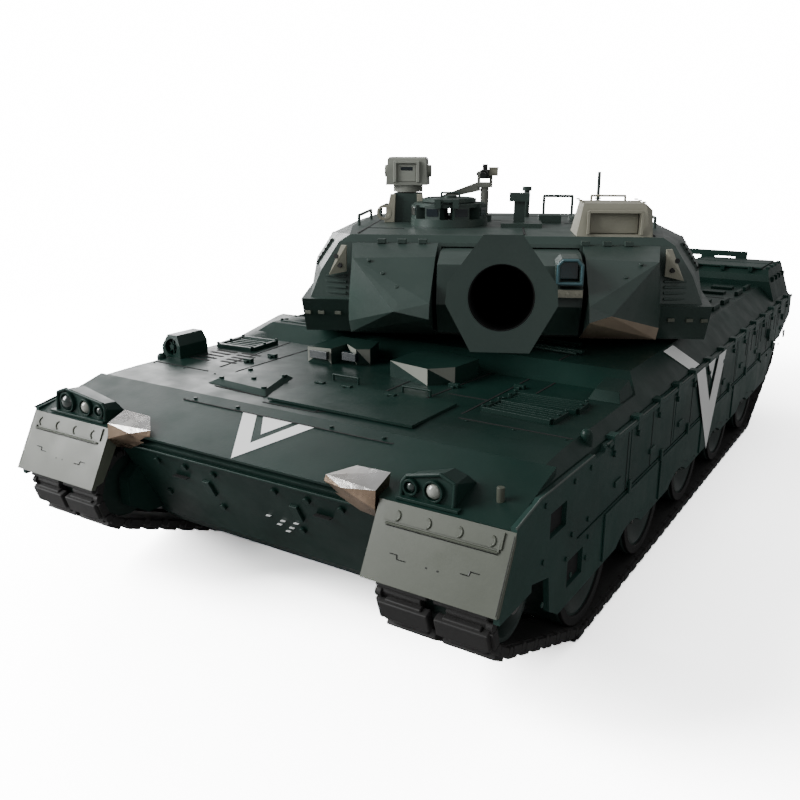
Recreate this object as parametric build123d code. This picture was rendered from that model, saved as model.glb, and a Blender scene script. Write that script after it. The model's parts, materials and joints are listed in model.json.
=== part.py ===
"""Radio-controlled battle tank, about 1:24: hull, running gear, drive train, turret and pellet gun.

Drawing frame: X across the hull (+X is the tank's own left), Y backwards from the nose edge,
Z up from the ground, all in millimetres. The finished parts are moved so that the origin is the
middle of the whole tank's bounding box at ground level.
The turret is drawn pointing straight ahead about its ring axis, then turned to its rest angle.
"""

from build123d import *
import math
import os

# ---------------------------------------------------------------- driving dimensions, millimetres
HULL_HALF = 67.5            # half width over the side skirts
HULL_LENGTH = 282.0         # nose edge to the rear plate
NOSE_Z = 44.2               # height of the nose edge
DECK_Z = 50.0               # front deck
RAISED_DECK_Z = 54.0        # deck around the turret and over the engine
DECK_STEP_Y = 76.0          # where the raised deck starts
WALL = 1.5                  # moulded wall thickness
TUB_HALF = 38.8             # half width of the lower hull between the tracks
BELLY_Z = 13.0
TUB_TOP_Z = 44.0
SKIRT_T = 1.2               # side skirt thickness
FLAP_IN_X = 38.8            # inner edge of the mud flaps

TRACK_IN_X = 41.2           # inner edge of the track belt
TRACK_OUT_X = 65.0
TRACK_T = 3.0               # belt thickness over the pads
PAD_T = 1.8                 # solid outer part of the belt
GROOVE_HALF = 2.5           # half width of the tooth groove
IDLER_Y, IDLER_Z, IDLER_BELT_R = 6.1, 27.0, 11.3        # idler axis, belt radius round it
SPROCKET_Y, SPROCKET_Z, SPROCKET_BELT_R = 255.0, 29.0, 13.0
FRONT_RAMP, REAR_RAMP = 22.4, 25.0      # degrees
WHEEL_Y = [45.0 + 42.6 * i for i in range(5)]
WHEEL_Z = 18.2
WHEEL_R = 14.9
SPROCKET_R = 9.7
IDLER_R = 8.0
TOOTH_R = 10.9
SPROCKET_TEETH = 10
WHEEL_X0, WHEEL_X1 = 42.6, 64.0
AXLE_R = 1.5
RUN_GAP = 0.06              # running clearance, radial
PRESS_GAP = 0.02            # pins pressed into the mouldings
GEAR_PIN_R = 1.0

RING_Y = 130.0              # turret ring axis
ROOF_Z = 84.2               # turret roof
CUPOLA_X, CUPOLA_Y, RIM_Z = -18.0, 2.0, 91.4
LID_HINGE_Y, LID_HINGE_Z = CUPOLA_Y - 11.9, 92.35
SIGHT_X, SIGHT_Y = -33.0, 15.0          # panoramic sight
GUN_POST_X, GUN_POST_Y, GUN_PIN_Z = -7.0, 20.0, 99.9    # machine gun mount
RING_HOLE_R = 33.0
MANTLET_X = (-17.4, 21.2)   # sides of the mantlet, which sits left of centre
TURRET_Z = 56.0             # underside of the turret
REST_YAW = 25.85            # turret angle at rest, degrees towards +X
GUN_ELEVATION = 7.6         # the gun is fixed at this angle
TRUNNION_B, TRUNNION_Z = 45.0, 73.0     # gun axis where it leaves the turret
GUN_REACH = 143.3           # trunnion point to the muzzle face
BORE_R = 3.8                # clears a 6 mm pellet

GEAR_M = 0.75               # gear module of the track drives
PINION_T, WHEEL_T = 8, 24
REDUCTION_Y, REDUCTION_Z = SPROCKET_Y - 11.59, SPROCKET_Z - 3.11
MOTOR_Y, MOTOR_Z = REDUCTION_Y - 11.82, REDUCTION_Z - 2.08
RING_GEAR_T, SLEW_T, SLEW_M = 60, 10, 1.0
SLEW_X, SLEW_Y = -28.0, RING_Y - 21.0

BATTERY_Y0, BATTERY_Y1, BATTERY_R, BATTERY_Z = 52.0, 117.0, 9.0, 24.6

nodes = {}


# ---------------------------------------------------------------- helpers
def block(x0, x1, y0, y1, z0, z1):
    """A box given by its limits."""
    return Pos((x0 + x1) / 2, (y0 + y1) / 2, (z0 + z1) / 2) * Box(abs(x1 - x0), abs(y1 - y0), abs(z1 - z0))


def prism_yz(points, x0, x1):
    """A (y, z) outline extruded across the hull from x0 to x1."""
    face = Plane.YZ * Polygon(*points, align=None)
    return Pos(x0, 0, 0) * extrude(face, x1 - x0, dir=(1, 0, 0))


def prism_xz(points, y0, y1):
    """An (x, z) outline extruded backwards from y0 to y1."""
    face = Plane(origin=(0, y0, 0), x_dir=(1, 0, 0), z_dir=(0, -1, 0)) * Polygon(*points, align=None)
    return extrude(face, y1 - y0, dir=(0, 1, 0))


def prism_xy(points, z0, z1):
    """An (x, y) outline extruded up from z0 to z1."""
    return Pos(0, 0, z0) * extrude(Polygon(*points, align=None), z1 - z0, dir=(0, 0, 1))


def rod_x(y, z, radius, x0, x1):
    """A round bar along X."""
    return Pos((x0 + x1) / 2, y, z) * Rot(0, 90, 0) * Cylinder(radius, abs(x1 - x0))


def rod_z(x, y, radius, z0, z1):
    """A round bar along Z."""
    return Pos(x, y, (z0 + z1) / 2) * Cylinder(radius, z1 - z0)


def mirrored(part):
    """The same piece on the other side of the hull's middle plane."""
    return mirror(part, about=Plane.YZ)


def group(*pieces):
    """Separate solids that share a node."""
    solids = []
    for piece in pieces:
        solids.extend(piece.solids())
    return Compound(children=solids)


def gear(module, teeth, width, bore):
    """A spur gear about Z: short, narrow teeth, so that it runs freely with its mate."""
    pitch_r = module * teeth / 2
    root_r = pitch_r - 0.85 * module
    tip_r = pitch_r + 0.55 * module
    tooth_w = 0.62 * module * math.pi / 2
    body = Cylinder(root_r, width)
    tooth = Pos((root_r + tip_r) / 2 - 0.2, 0, 0) * Box(tip_r - root_r + 0.4, tooth_w, width)
    teeth_cut = [Rot(0, 0, 360 * i / teeth) * tooth for i in range(teeth)]
    wheel = body.fuse(*teeth_cut)
    return wheel - Cylinder(bore, width + 1) if bore else wheel


def turret(part):
    """From the straight-ahead turret drawing to its place and rest angle on the hull."""
    return Pos(0, RING_Y, 0) * Rot(0, 0, REST_YAW) * part


def both_sides(corners):
    """Turret corners given as (half width, forward, up), on both sides."""
    return [(side * a, -b, z) for a, b, z in corners for side in (1, -1)]


def side_points(corners, side):
    """Turret corners given as (outward, forward, up), on one side."""
    return [(side * a, -b, z) for a, b, z in corners]


# ---------------------------------------------------------------- hull
def track_outline(inset):
    """The belt's side view, inset from its outer line: convex, round at idler and sprocket."""
    front, rear = math.radians(FRONT_RAMP), math.radians(REAR_RAMP)
    idler_r, sprocket_r = IDLER_BELT_R - inset, SPROCKET_BELT_R - inset
    front_toe = IDLER_Y + (IDLER_Z - IDLER_BELT_R / math.cos(front)) / math.tan(front)
    rear_toe = SPROCKET_Y - (SPROCKET_Z - SPROCKET_BELT_R / math.cos(rear)) / math.tan(rear)
    rise = math.asin((SPROCKET_Z + sprocket_r - IDLER_Z - idler_r) / (SPROCKET_Y - IDLER_Y))
    points = [
        (front_toe + inset * math.tan(front / 2), inset),
        (rear_toe - inset * math.tan(rear / 2), inset),
        (SPROCKET_Y + sprocket_r * math.sin(rear), SPROCKET_Z - sprocket_r * math.cos(rear)),
        (SPROCKET_Y - sprocket_r * math.sin(rise), SPROCKET_Z + sprocket_r * math.cos(rise)),
        (IDLER_Y - idler_r * math.sin(rise), IDLER_Z + idler_r * math.cos(rise)),
        (IDLER_Y - idler_r * math.sin(front), IDLER_Z - idler_r * math.cos(front)),
    ]
    body = prism_yz(points, TRACK_IN_X, TRACK_OUT_X)
    return body.fuse(
        rod_x(IDLER_Y, IDLER_Z, idler_r, TRACK_IN_X, TRACK_OUT_X),
        rod_x(SPROCKET_Y, SPROCKET_Z, sprocket_r, TRACK_IN_X, TRACK_OUT_X),
    )


def track():
    """Rubber belt: a groove for the sprocket teeth inside, grooves between the pads outside."""
    middle = (TRACK_IN_X + TRACK_OUT_X) / 2
    belt = track_outline(0) - track_outline(TRACK_T)
    slot = track_outline(PAD_T) - track_outline(TRACK_T + 0.5)
    slot = slot & block(middle - GROOVE_HALF, middle + GROOVE_HALF, -40, 320, -5, 60)
    return belt - slot


def lower_hull():
    """The tub: front plate, belly, rear plate and the inner axle bosses."""
    outline = [(1.2, 42.0), (14, 18), (20, BELLY_Z), (250, BELLY_Z), (268, 18), (281, 30),
               (281.6, TUB_TOP_Z), (6, TUB_TOP_Z), (2.6, 43.1)]
    inside = [(4.0, 41.2), (15.8, 18.6), (20.8, BELLY_Z + WALL), (249.6, BELLY_Z + WALL), (267, 19.4),
              (279.4, 30.7), (280.0, TUB_TOP_Z + 1), (6, TUB_TOP_Z + 1)]
    tub = prism_yz(outline, -TUB_HALF, TUB_HALF) - prism_yz(inside, -TUB_HALF + WALL, TUB_HALF - WALL)
    bosses = []
    for side in (1, -1):
        for y in WHEEL_Y:
            bosses.append(rod_x(y, WHEEL_Z, 3.2, side * 30.0, side * 37.6))
        bosses.append(prism_yz([(2.5, 23.5), (2.5, 30.2), (7, 34), (18, 34), (18, 20), (8, 20)],
                               *sorted((side * 37.3, side * 40.7))))
        bosses.append(rod_x(REDUCTION_Y, REDUCTION_Z, 1.9, side * 36.6, side * 37.6))
    tub = tub.fuse(*bosses)
    cuts = []
    for side in (1, -1):
        for y in WHEEL_Y:
            cuts.append(rod_x(y, WHEEL_Z, AXLE_R + PRESS_GAP, side * 31.0, side * 40))
        cuts.append(rod_x(IDLER_Y, IDLER_Z, AXLE_R + PRESS_GAP, side * 37.9, side * 41))
        cuts.append(rod_x(SPROCKET_Y, SPROCKET_Z, AXLE_R + RUN_GAP, side * 36, side * 40))
        cuts.append(rod_x(REDUCTION_Y, REDUCTION_Z, GEAR_PIN_R + PRESS_GAP, side * 36, side * 38.3))
    door = block(-13.15, 13.15, 46.85, 122.15, BELLY_Z - 1, BELLY_Z + 3)
    switch_slot = block(-30.5, -21.5, 148, 164, BELLY_Z - 1, BELLY_Z + 3)
    for cut in cuts + [door, switch_slot]:
        tub = tub - cut
    saddle_sides = [block(x0, x0 + 1.5, 50, 119, BELLY_Z + 1.4, 24) for x0 in (-14.9, 13.4)]
    return tub.fuse(*saddle_sides)


def hull_section(inset):
    """Front view of the deck and fenders, inset by a wall thickness."""
    low = TUB_TOP_Z + 0.6 if inset == 0 else TUB_TOP_Z - 5
    edge = HULL_HALF - SKIRT_T - 0.05 - inset
    return [(-edge, low), (-edge, 47.3 - inset), (-59.5 + inset * 0.4, RAISED_DECK_Z - inset),
            (59.5 - inset * 0.4, RAISED_DECK_Z - inset), (edge, 47.3 - inset), (edge, low)]


def deck_line(inset):
    """Side view of glacis, front deck and raised deck, inset by a wall thickness."""
    return [(inset, 30), (inset, NOSE_Z - inset * 0.5), (20, 49.6 - inset), (30, DECK_Z - inset),
            (DECK_STEP_Y + inset, DECK_Z - inset), (DECK_STEP_Y + 7 + inset, RAISED_DECK_Z - inset),
            (HULL_LENGTH - inset, RAISED_DECK_Z - inset), (HULL_LENGTH - inset, 30)]


def hull_outside():
    """Outer shape of the upper moulding, solid."""
    return prism_xz(hull_section(0), 0, HULL_LENGTH) & prism_yz(deck_line(0), -70, 70)


def upper_hull():
    """Glacis, deck and fenders in one moulding, hollow below, with the turret ring hole."""
    inside = prism_xz(hull_section(WALL), 0, HULL_LENGTH) & prism_yz(deck_line(WALL), -70, 70)
    shell = hull_outside() - inside
    glacis = prism_yz([(0, NOSE_Z), (20, 49.6), (20, 48.0), (2.6, 43.3), (0.25, 43.6)], -66.2, 66.2)
    ribs = [prism_yz([(9, TUB_TOP_Z), (9, 46), (26, 49.3), (DECK_STEP_Y, 49.3), (DECK_STEP_Y + 8, 53.2),
                      (281, 53.2), (281, TUB_TOP_Z)], x0, x0 + 1.6) for x0 in (-38.8, 37.2)]
    shell = shell.fuse(glacis, *ribs)
    shell = shell - rod_z(0, RING_Y, RING_HOLE_R, 40, 60)
    for side in (1, -1):
        shell = shell - block(side * 37.0, side * 39.0, RING_Y - 14, RING_Y + 14, TUB_TOP_Z + 1.5, 52.4)
    return shell


def side_skirt():
    """Left skirt: front step holes, bolted panel lines and a scalloped lower edge."""
    outline = [(7.5, 30.5), (8.0, 46.2), (10, 46.9), (37.5, 46.9), (38.6, 45.6), (44.0, 45.6), (45, 46.9),
               (281.8, 46.9), (282.4, 38.3), (261.3, 31.2), (253.6, 31.5), (237.1, 18.0), (21.6, 17.4),
               (16.9, 20.3), (15.7, 28.4)]
    x0 = HULL_HALF - SKIRT_T
    cheek = [(0.05, 44.9), (0.05, 42.0), (-5.8, 30.1), (-5.6, 28.6), (7.6, 28.9), (8.2, 46.3)]
    skirt = prism_yz(outline, x0, HULL_HALF).fuse(prism_yz(cheek, x0, HULL_HALF))
    for y0, y1 in zip(WHEEL_Y[:-1], WHEEL_Y[1:]):
        middle = (y0 + y1) / 2
        scallop = Pos(HULL_HALF, middle, 4.0) * Rot(0, 90, 0) * Cylinder(16.5, 4)
        skirt = skirt - scallop
    skirt = skirt - block(x0 - 1, HULL_HALF + 1, 15.2, 23.3, 36.6, 41.9)
    skirt = skirt - block(x0 - 1, HULL_HALF + 1, 25.5, 34.0, 21.5, 27.5)
    for i in range(5):
        groove_y = 62.0 + 38.0 * i
        skirt = skirt - block(HULL_HALF - 0.35, HULL_HALF + 1, groove_y, groove_y + 0.6, 31.5, 47.5)
    skirt = skirt - block(HULL_HALF - 0.35, HULL_HALF + 1, 30, 262, 30.6, 31.2)
    return skirt


def mud_flap():
    """Left mud flap: sloping front panel with a return along both edges."""
    outer = [(-0.05, NOSE_Z - 0.1), (-7.1, 30.6), (-5.9, 30.2), (-0.05, 42.0)]
    panel = prism_yz(outer, FLAP_IN_X, HULL_HALF)
    inner = prism_yz([(-0.05, NOSE_Z - 0.1), (-7.1, 30.6), (-3.5, 31.6), (3.0, 42.2), (2.0, 43.0),
                      (-0.05, 43.2)],
                     FLAP_IN_X, FLAP_IN_X + 1.2)
    strip_top = prism_yz([(-0.55, 43.9), (-1.95, 41.1), (-1.5, 40.9), (-0.1, 43.5)], FLAP_IN_X + 2,
                         HULL_HALF - 2)
    return panel.fuse(inner, strip_top)


LAMPS = ((44.6, 47.0, 1.2), (49.6, 47.2, 1.7), (56.4, 47.5, 2.1))     # across, height, radius


def headlight_housing(side, lamps, outer):
    """One side's cluster housing: a low hood, highest over its larger lamp, with lamp pockets."""
    inner, peak = 42.6, outer - 3.2
    body = ConvexPolyhedron([(side * x, y, z) for x, y, z in (
        (inner, 1.8, 44.75), (outer, 1.8, 44.75), (outer, 2.3, 49.4), (peak, 2.6, 50.6),
                                                            (inner + 1.0, 2.4, 48.9),
        (inner, 2.2, 47.6), (inner, 7.5, 46.3), (outer, 10.5, 47.1), (outer - 0.6, 8.0, 49.2),
        (peak, 7.6, 50.2), (inner + 1.0, 6.0, 48.6))])
    for x, z, radius in lamps:
        body = body - Pos(side * x, 1.6, z) * Rot(90, 0, 0) * Cylinder(radius + 0.05, 5.0)
    return body - hull_outside()


def headlight_lens(side, lamps):
    """The domed lenses of one side's cluster."""
    lenses = []
    for x, z, radius in lamps:
        dome = Sphere(radius) & Box(2 * radius, 2 * radius, 2 * radius,
                                    align=(Align.CENTER, Align.MAX, Align.CENTER))
        stem = Pos(0, 0.7, 0) * Rot(90, 0, 0) * Cylinder(radius, 1.4)
        lenses.append(Pos(side * x, 2.5, z) * (stem.fuse(dome)))
    return lenses


def corner_lamp():
    """Left faceted bright cover, wrapped over the nose edge beside the mud flap."""
    cover = ConvexPolyhedron([
        (25.2, 0.2, 44.6), (25.4, 0.6, 45.9), (30.0, 4.8, 47.4), (38.4, 4.4, 47.8), (38.4, -0.9, 45.8),
        (30.5, -1.3, 44.8), (38.4, -1.2, 42.0), (37.6, 0.6, 39.6), (33.5, 1.0, 39.8), (28.0, 0.4, 42.4),
        (38.4, 2.4, 39.8)])
    gap = 0.03
    nose = prism_yz([(-gap, NOSE_Z), (0, NOSE_Z + gap), (20, 49.6 + gap), (20, 20), (12.9, 20),
                     (1.15, 42.0), (-gap, 42.9)],
                    -70, 70)
    return cover - nose


def driver_hatch():
    """Driver's hatch plate, front access plate and the periscope hoods before the turret."""
    plate = ConvexPolyhedron([(x, y, DECK_Z) for x,
                              y in ((-33.5, 27.5), (-12.2, 25.6), (-17.8, 43), (-33.8, 45))]
                             + [(x, y, DECK_Z + 1.0) for x,
                                y in ((-31.5, 29.3), (-14, 27.6), (-19, 41.6), (-32, 43))])
    access = block(-10.0, 31, 24, 44, DECK_Z, DECK_Z + 0.6)
    left_hood = prism_xy([(-26, 59.5), (-18.5, 60.5), (-18.5, 68), (-12, 63.5), (-9, 66), (-12.5, 75.5),
                          (-26, 75.5)], DECK_Z, DECK_Z + 4.4)
    right_hood = prism_xy([(3, 58), (16, 55.5), (21, 61), (22, 72), (9, 75), (3, 70)], DECK_Z, DECK_Z + 4.4)
    slot = block(-24, -20, 57, 61, DECK_Z + 1.4, DECK_Z + 3.2)
    return group(plate, access, left_hood - slot, right_hood)


def fan_housing():
    """Faceted air intake on the right front fender, with its round grille."""
    corners = []
    for y in (42.0, 53.0):
        for x, z in ((-66.2, 48.0), (-66.2, 53.2), (-64.6, 56.4), (-60.8, 56.4), (-59.0, 53.6),
                     (-59.0, 48.0)):
            corners.append((x, y + (0.8 if z > 56 and y < 50 else 0), z))
    hood = ConvexPolyhedron(corners) - hull_outside()
    mouth_x, mouth_z = -62.6, 53.0
    mouth = Pos(mouth_x, 42.0, mouth_z) * Rot(90, 0, 0) * Cylinder(2.4, 3.6)
    hub = Pos(mouth_x, 43.2, mouth_z) * Rot(90, 0, 0) * Cylinder(0.8, 1.6)
    spokes = [Pos(mouth_x, 43.4, mouth_z) * Rot(0, 45 * i, 0) * Box(5.0, 0.8, 0.5) for i in range(4)]
    return (hood - mouth).fuse(hub, *spokes)


def engine_deck():
    """Rear engine cover with louvres, two raised rear lockers and the rear rack plate."""
    cover = block(-34, 34, 205, 246, RAISED_DECK_Z, RAISED_DECK_Z + 1.2)
    for i in range(9):
        y = 208.5 + 4.0 * i
        for x0, x1 in ((-31, -3), (3, 31)):
            cover = cover - block(x0, x1, y, y + 1.8, RAISED_DECK_Z + 0.5, RAISED_DECK_Z + 2)
    lockers = []
    for side in (1, -1):
        locker = prism_yz([(248, 48), (248, 56), (249.5, 58.6), (252, 60.6), (281.5, 60.6), (281.5, 48)],
                          -70, 70)
        locker = locker & prism_xz([(side * 27, 48), (side * 27, 61), (side * 61.5, 61),
                                    (side * 65.6, 48.4)],
                                   240, 290)
        locker = locker - hull_outside()
        lockers.append(locker)
    rack = block(-47, 47, 282.05, 283.2, 51.0, 64.0)
    for i in range(6):
        x = -42 + 15.0 * i
        rack = rack - block(x, x + 9, 280, 285, 57.0, 61.5)
    return group(cover, rack, *lockers)


def rear_fittings():
    """Tail lamps and towing eyes on the rear plate."""
    pieces = []
    for side in (1, -1):
        lamp = prism_yz([(282.0, 47.0), (284.0, 47.6), (284.0, 51.6), (282.0, 52.2)], 0, 9)
        pieces.append(Pos(50 if side > 0 else -59, 0, 0) * lamp)
        eye = rod_x(283.4, 33.0, 2.6, side * 26.0, side * 28.4) - rod_x(283.4, 33.0, 1.1, side * 20,
                                                            side * 32)
        pieces.append(eye - prism_yz([(270, 20), (281.16, 32.0), (281.7, 46), (270, 46)], -40, 40))
    return group(*pieces)


def hull_electrics():
    """Battery, its lead and plug, the board with the switch body, motors and the slewing motor."""
    middle_y = (BATTERY_Y0 + BATTERY_Y1) / 2
    cell = Pos(0, middle_y, BATTERY_Z) * Rot(90, 0, 0) * Cylinder(BATTERY_R, BATTERY_Y1 - BATTERY_Y0)
    button = Pos(0, BATTERY_Y1 + 0.4, BATTERY_Z) * Rot(90, 0, 0) * Cylinder(3.0, 0.8)
    nodes["battery_cell"] = cell.fuse(button)
    lead_path = FilletPolyline((4.5, BATTERY_Y1, BATTERY_Z + 5), (4.5, BATTERY_Y1 + 9, BATTERY_Z + 5),
                               (11, BATTERY_Y1 + 17, BATTERY_Z + 8), (21, BATTERY_Y1 + 17, BATTERY_Z + 10),
                               (25, BATTERY_Y1 + 10, BATTERY_Z + 10), (25, BATTERY_Y1 + 2, BATTERY_Z + 10),
                               radius=[4.0, 4.0, 4.0, 4.0])
    section = Plane(origin=lead_path @ 0, z_dir=lead_path % 0) * Circle(0.8)
    nodes["battery_lead"] = sweep(section, path=lead_path)
    plug = block(21, 29, BATTERY_Y1 - 9, BATTERY_Y1 + 2, BATTERY_Z + 7.2, BATTERY_Z + 12.6)
    latch = block(23.5, 26.5, BATTERY_Y1 - 8, BATTERY_Y1 - 1, BATTERY_Z + 12.6, BATTERY_Z + 13.5)
    nodes["battery_plug"] = plug.fuse(latch)
    board = block(-18, 18, 150, 192, 40.0, 41.4)
    chips = [block(-12, -4, 172, 180, 41.4, 42.8), block(4, 11, 160, 165, 41.4, 42.6),
             block(-6, 0, 156, 160, 41.4, 43.4), rod_z(10, 180, 2.5, 41.4, 43.8)]
    switch_body = block(-29.9, -22.1, 149.5, 162.5, BELLY_Z + 2.2, BELLY_Z + 8)
    switch_pocket = block(-28.2, -23.8, 151, 161, BELLY_Z + 2, BELLY_Z + 4.4)
    nodes["circuit_board"] = group(board.fuse(*chips), switch_body - switch_pocket)
    nodes["power_switch"] = block(-28.0, -24.0, 151.4, 156.0, BELLY_Z + 2.4, BELLY_Z + 4.1).fuse(
        block(-27.2, -24.8, 152.6, 154.8, BELLY_Z - 0.4, BELLY_Z + 2.6))
    motors = []
    for side in (1, -1):
        can = rod_x(MOTOR_Y, MOTOR_Z, 7.6, side * 4.0, side * 27.0)
        flats = block(side * 3.0, side * 28.0, MOTOR_Y - 9, MOTOR_Y + 9, MOTOR_Z - 6.6, MOTOR_Z + 6.6)
        boss = rod_x(MOTOR_Y, MOTOR_Z, 2.4, side * 27.0, side * 28.2)
        motors.append((can & flats).fuse(boss) - rod_x(MOTOR_Y, MOTOR_Z, 1.05, side * 24, side * 30))
    nodes["drive_motors"] = group(*motors)
    slew_can = rod_z(SLEW_X, SLEW_Y, 6.6, 22.0, 42.0)
    slew_boss = rod_z(SLEW_X, SLEW_Y, 2.2, 42.0, 43.0)
    slew_mount = block(SLEW_X - 9.1, SLEW_X + 3, SLEW_Y - 3, SLEW_Y + 3, 20.5, 22.0)
    nodes["turret_motor"] = slew_can.fuse(slew_boss, slew_mount) - rod_z(SLEW_X, SLEW_Y, 1.05, 38, 50)


def battery_hatch():
    """Battery door in the belly and the screws that hold the door and the tub."""
    door = block(-13, 13, 47, 122, BELLY_Z, BELLY_Z + WALL)
    for i in range(6):
        door = door - block(-8, 8, 56 + 9 * i, 58 + 9 * i, BELLY_Z - 1, BELLY_Z + 0.4)
    screw_y = (50.0, 119.0)
    screws = []
    for y in screw_y:
        door = door - rod_z(0, y, 1.0, BELLY_Z - 1, BELLY_Z + 5)
        shank = rod_z(0, y, 0.95, BELLY_Z, BELLY_Z + WALL + 0.4)
        screws.append(shank.fuse(rod_z(0, y, 2.0, BELLY_Z - 0.8, BELLY_Z)))
    nodes["battery_door"] = door
    for x in (-34.0, 34.0):
        for y in (66.0, 150.0, 194.0):
            screws.append(rod_z(x, y, 2.0, BELLY_Z - 0.8, BELLY_Z))
    nodes["hull_screws"] = group(*screws)


# ---------------------------------------------------------------- running gear
def turned_wheel(profile, y, z):
    """Turn an (along, radius) profile about the wheel's axle and put it on the left side."""
    face = Plane.XZ * Polygon(*profile, align=None)
    return Pos(0, y, z) * revolve(face, axis=Axis.X)


def road_wheel(y):
    """Dished wheel with a rubber tyre width face and a raised hub."""
    bore = AXLE_R + RUN_GAP
    profile = [(WHEEL_X0, bore), (WHEEL_X0, 4.5), (WHEEL_X0 + 1.2, 11.0), (WHEEL_X0 + 0.4, 12.0),
               (WHEEL_X0 + 0.4, WHEEL_R - 0.6), (WHEEL_X0 + 1.0, WHEEL_R), (WHEEL_X1 - 0.9, WHEEL_R),
               (WHEEL_X1 - 0.3, WHEEL_R - 0.6), (WHEEL_X1 - 0.3, 11.9), (WHEEL_X1 - 0.8, 11.3),
               (WHEEL_X1 - 3.6, 8.6), (WHEEL_X1 - 3.6, 4.4), (WHEEL_X1 - 1.4, 3.6), (WHEEL_X1 - 1.4, bore)]
    wheel = turned_wheel(profile, y, WHEEL_Z)
    for i in range(6):
        turn = math.radians(60 * i)
        wheel = wheel - rod_x(y + 6.4 * math.sin(turn), WHEEL_Z + 6.4 * math.cos(turn), 0.8,
                              WHEEL_X1 - 4.4, WHEEL_X1)
    return wheel


def idler_wheel():
    """Deeply dished idler."""
    bore = AXLE_R + RUN_GAP
    profile = [(WHEEL_X0, bore), (WHEEL_X0, IDLER_R), (WHEEL_X1, IDLER_R), (WHEEL_X1, 7.1),
               (WHEEL_X1 - 3.8, 5.0), (WHEEL_X1 - 3.8, 3.4), (WHEEL_X1 - 1.6, 2.8), (WHEEL_X1 - 1.6, bore)]
    return turned_wheel(profile, IDLER_Y, IDLER_Z)


def drive_sprocket():
    """Sprocket drum with teeth in the belt's groove, its shaft and the final gear inside the tub."""
    profile = [(WHEEL_X0, 0), (WHEEL_X0, SPROCKET_R), (WHEEL_X1, SPROCKET_R), (WHEEL_X1, 8.0),
               (WHEEL_X1 - 2.6, 6.2), (WHEEL_X1 - 2.6, 3.6), (WHEEL_X1 - 0.8, 3.0), (WHEEL_X1 - 0.8, 0)]
    drum = turned_wheel(profile, SPROCKET_Y, SPROCKET_Z)
    middle = (TRACK_IN_X + TRACK_OUT_X) / 2
    tooth = Pos(middle, 0, SPROCKET_R) * Box(2 * GROOVE_HALF - 1.2, 1.8, 2 * (TOOTH_R - SPROCKET_R))
    teeth = [Pos(0, SPROCKET_Y, SPROCKET_Z) * Rot(360 / SPROCKET_TEETH * i, 0,
                                                  0) * tooth for i in range(SPROCKET_TEETH)]
    shaft = rod_x(SPROCKET_Y, SPROCKET_Z, AXLE_R, 28.5, WHEEL_X0 + 1)
    final = Pos(34.8, SPROCKET_Y, SPROCKET_Z) * Rot(0, 90, 0) * gear(GEAR_M, WHEEL_T, 2.6, 0)
    return drum.fuse(*teeth).fuse(shaft).fuse(final)


def mesh_turn(y0, z0, y1, z1, teeth0, turn0, teeth1):
    """Turn of gear 1 about X so that its gap faces the tooth of gear 0 on their line of centres."""
    toward = math.degrees(math.atan2(z1 - z0, y1 - y0))
    pitch0, pitch1 = 360.0 / teeth0, 360.0 / teeth1
    lead = (toward - turn0) / pitch0
    phase = lead - math.floor(lead)
    return toward + 180.0 + phase * pitch1 + pitch1 / 2


def gear_on_x(x, y, z, turn, module, teeth, width, bore):
    """A gear turned about X, its first tooth along +Y at zero turn."""
    wheel = gear(module, teeth, width, bore)
    along_y = Rot(0, 90, 0) * (Rot(0, 0, 90) * wheel)
    return Pos(x, y, z) * (Rot(turn, 0, 0) * along_y)


def reduction_turns():
    """Turn angles that mesh the final gear, the compound gear and the motor pinion."""
    final_turn = 90.0
    small = mesh_turn(SPROCKET_Y, SPROCKET_Z, REDUCTION_Y, REDUCTION_Z, WHEEL_T, final_turn, PINION_T)
    large = small
    pinion = mesh_turn(REDUCTION_Y, REDUCTION_Z, MOTOR_Y, MOTOR_Z, WHEEL_T, large, PINION_T)
    return final_turn, small, large, pinion


def drive_gears():
    """Left compound gear and motor pinion."""
    final_turn, small, large, pinion = reduction_turns()
    compound = gear_on_x(34.8, REDUCTION_Y, REDUCTION_Z, small, GEAR_M, PINION_T, 3.2, 1.0 + RUN_GAP)
    compound = compound.fuse(gear_on_x(31.6, REDUCTION_Y, REDUCTION_Z, large, GEAR_M, WHEEL_T, 3.2,
                                       1.0 + RUN_GAP))
    motor_gear = gear_on_x(31.4, MOTOR_Y, MOTOR_Z, pinion, GEAR_M, PINION_T, 3.6, 0)
    motor_gear = motor_gear.fuse(rod_x(MOTOR_Y, MOTOR_Z, 1.0, 25.0, 33.6))
    return compound, motor_gear


def wheel_axles():
    """Stub axles for the road wheels and idlers, with their caps, and the two gear pins."""
    pins = []
    for y, z in [(y, WHEEL_Z) for y in WHEEL_Y] + [(IDLER_Y, IDLER_Z)]:
        inner = 31.5 if z == WHEEL_Z else 38.0
        pins.append(rod_x(y, z, AXLE_R, inner, 64.6).fuse(rod_x(y, z, 2.4, 64.15, 65.1)))
    pins.append(rod_x(REDUCTION_Y, REDUCTION_Z, GEAR_PIN_R, 29.2, 38.2))
    return group(*pins, *[mirrored(pin) for pin in pins])


# ---------------------------------------------------------------- turret
def gun_place(part):
    """Put a piece drawn along -Y from the trunnion point onto the gun's fixed axis."""
    return Pos(0, -TRUNNION_B, TRUNNION_Z) * Rot(-GUN_ELEVATION, 0, 0) * part


def gun_rod(radius, start, end):
    """A round bar on the gun axis, from start to end forward of the trunnion point."""
    return gun_place(Pos(0, -(start + end) / 2, 0) * Rot(90, 0, 0) * Cylinder(radius, end - start))


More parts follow.
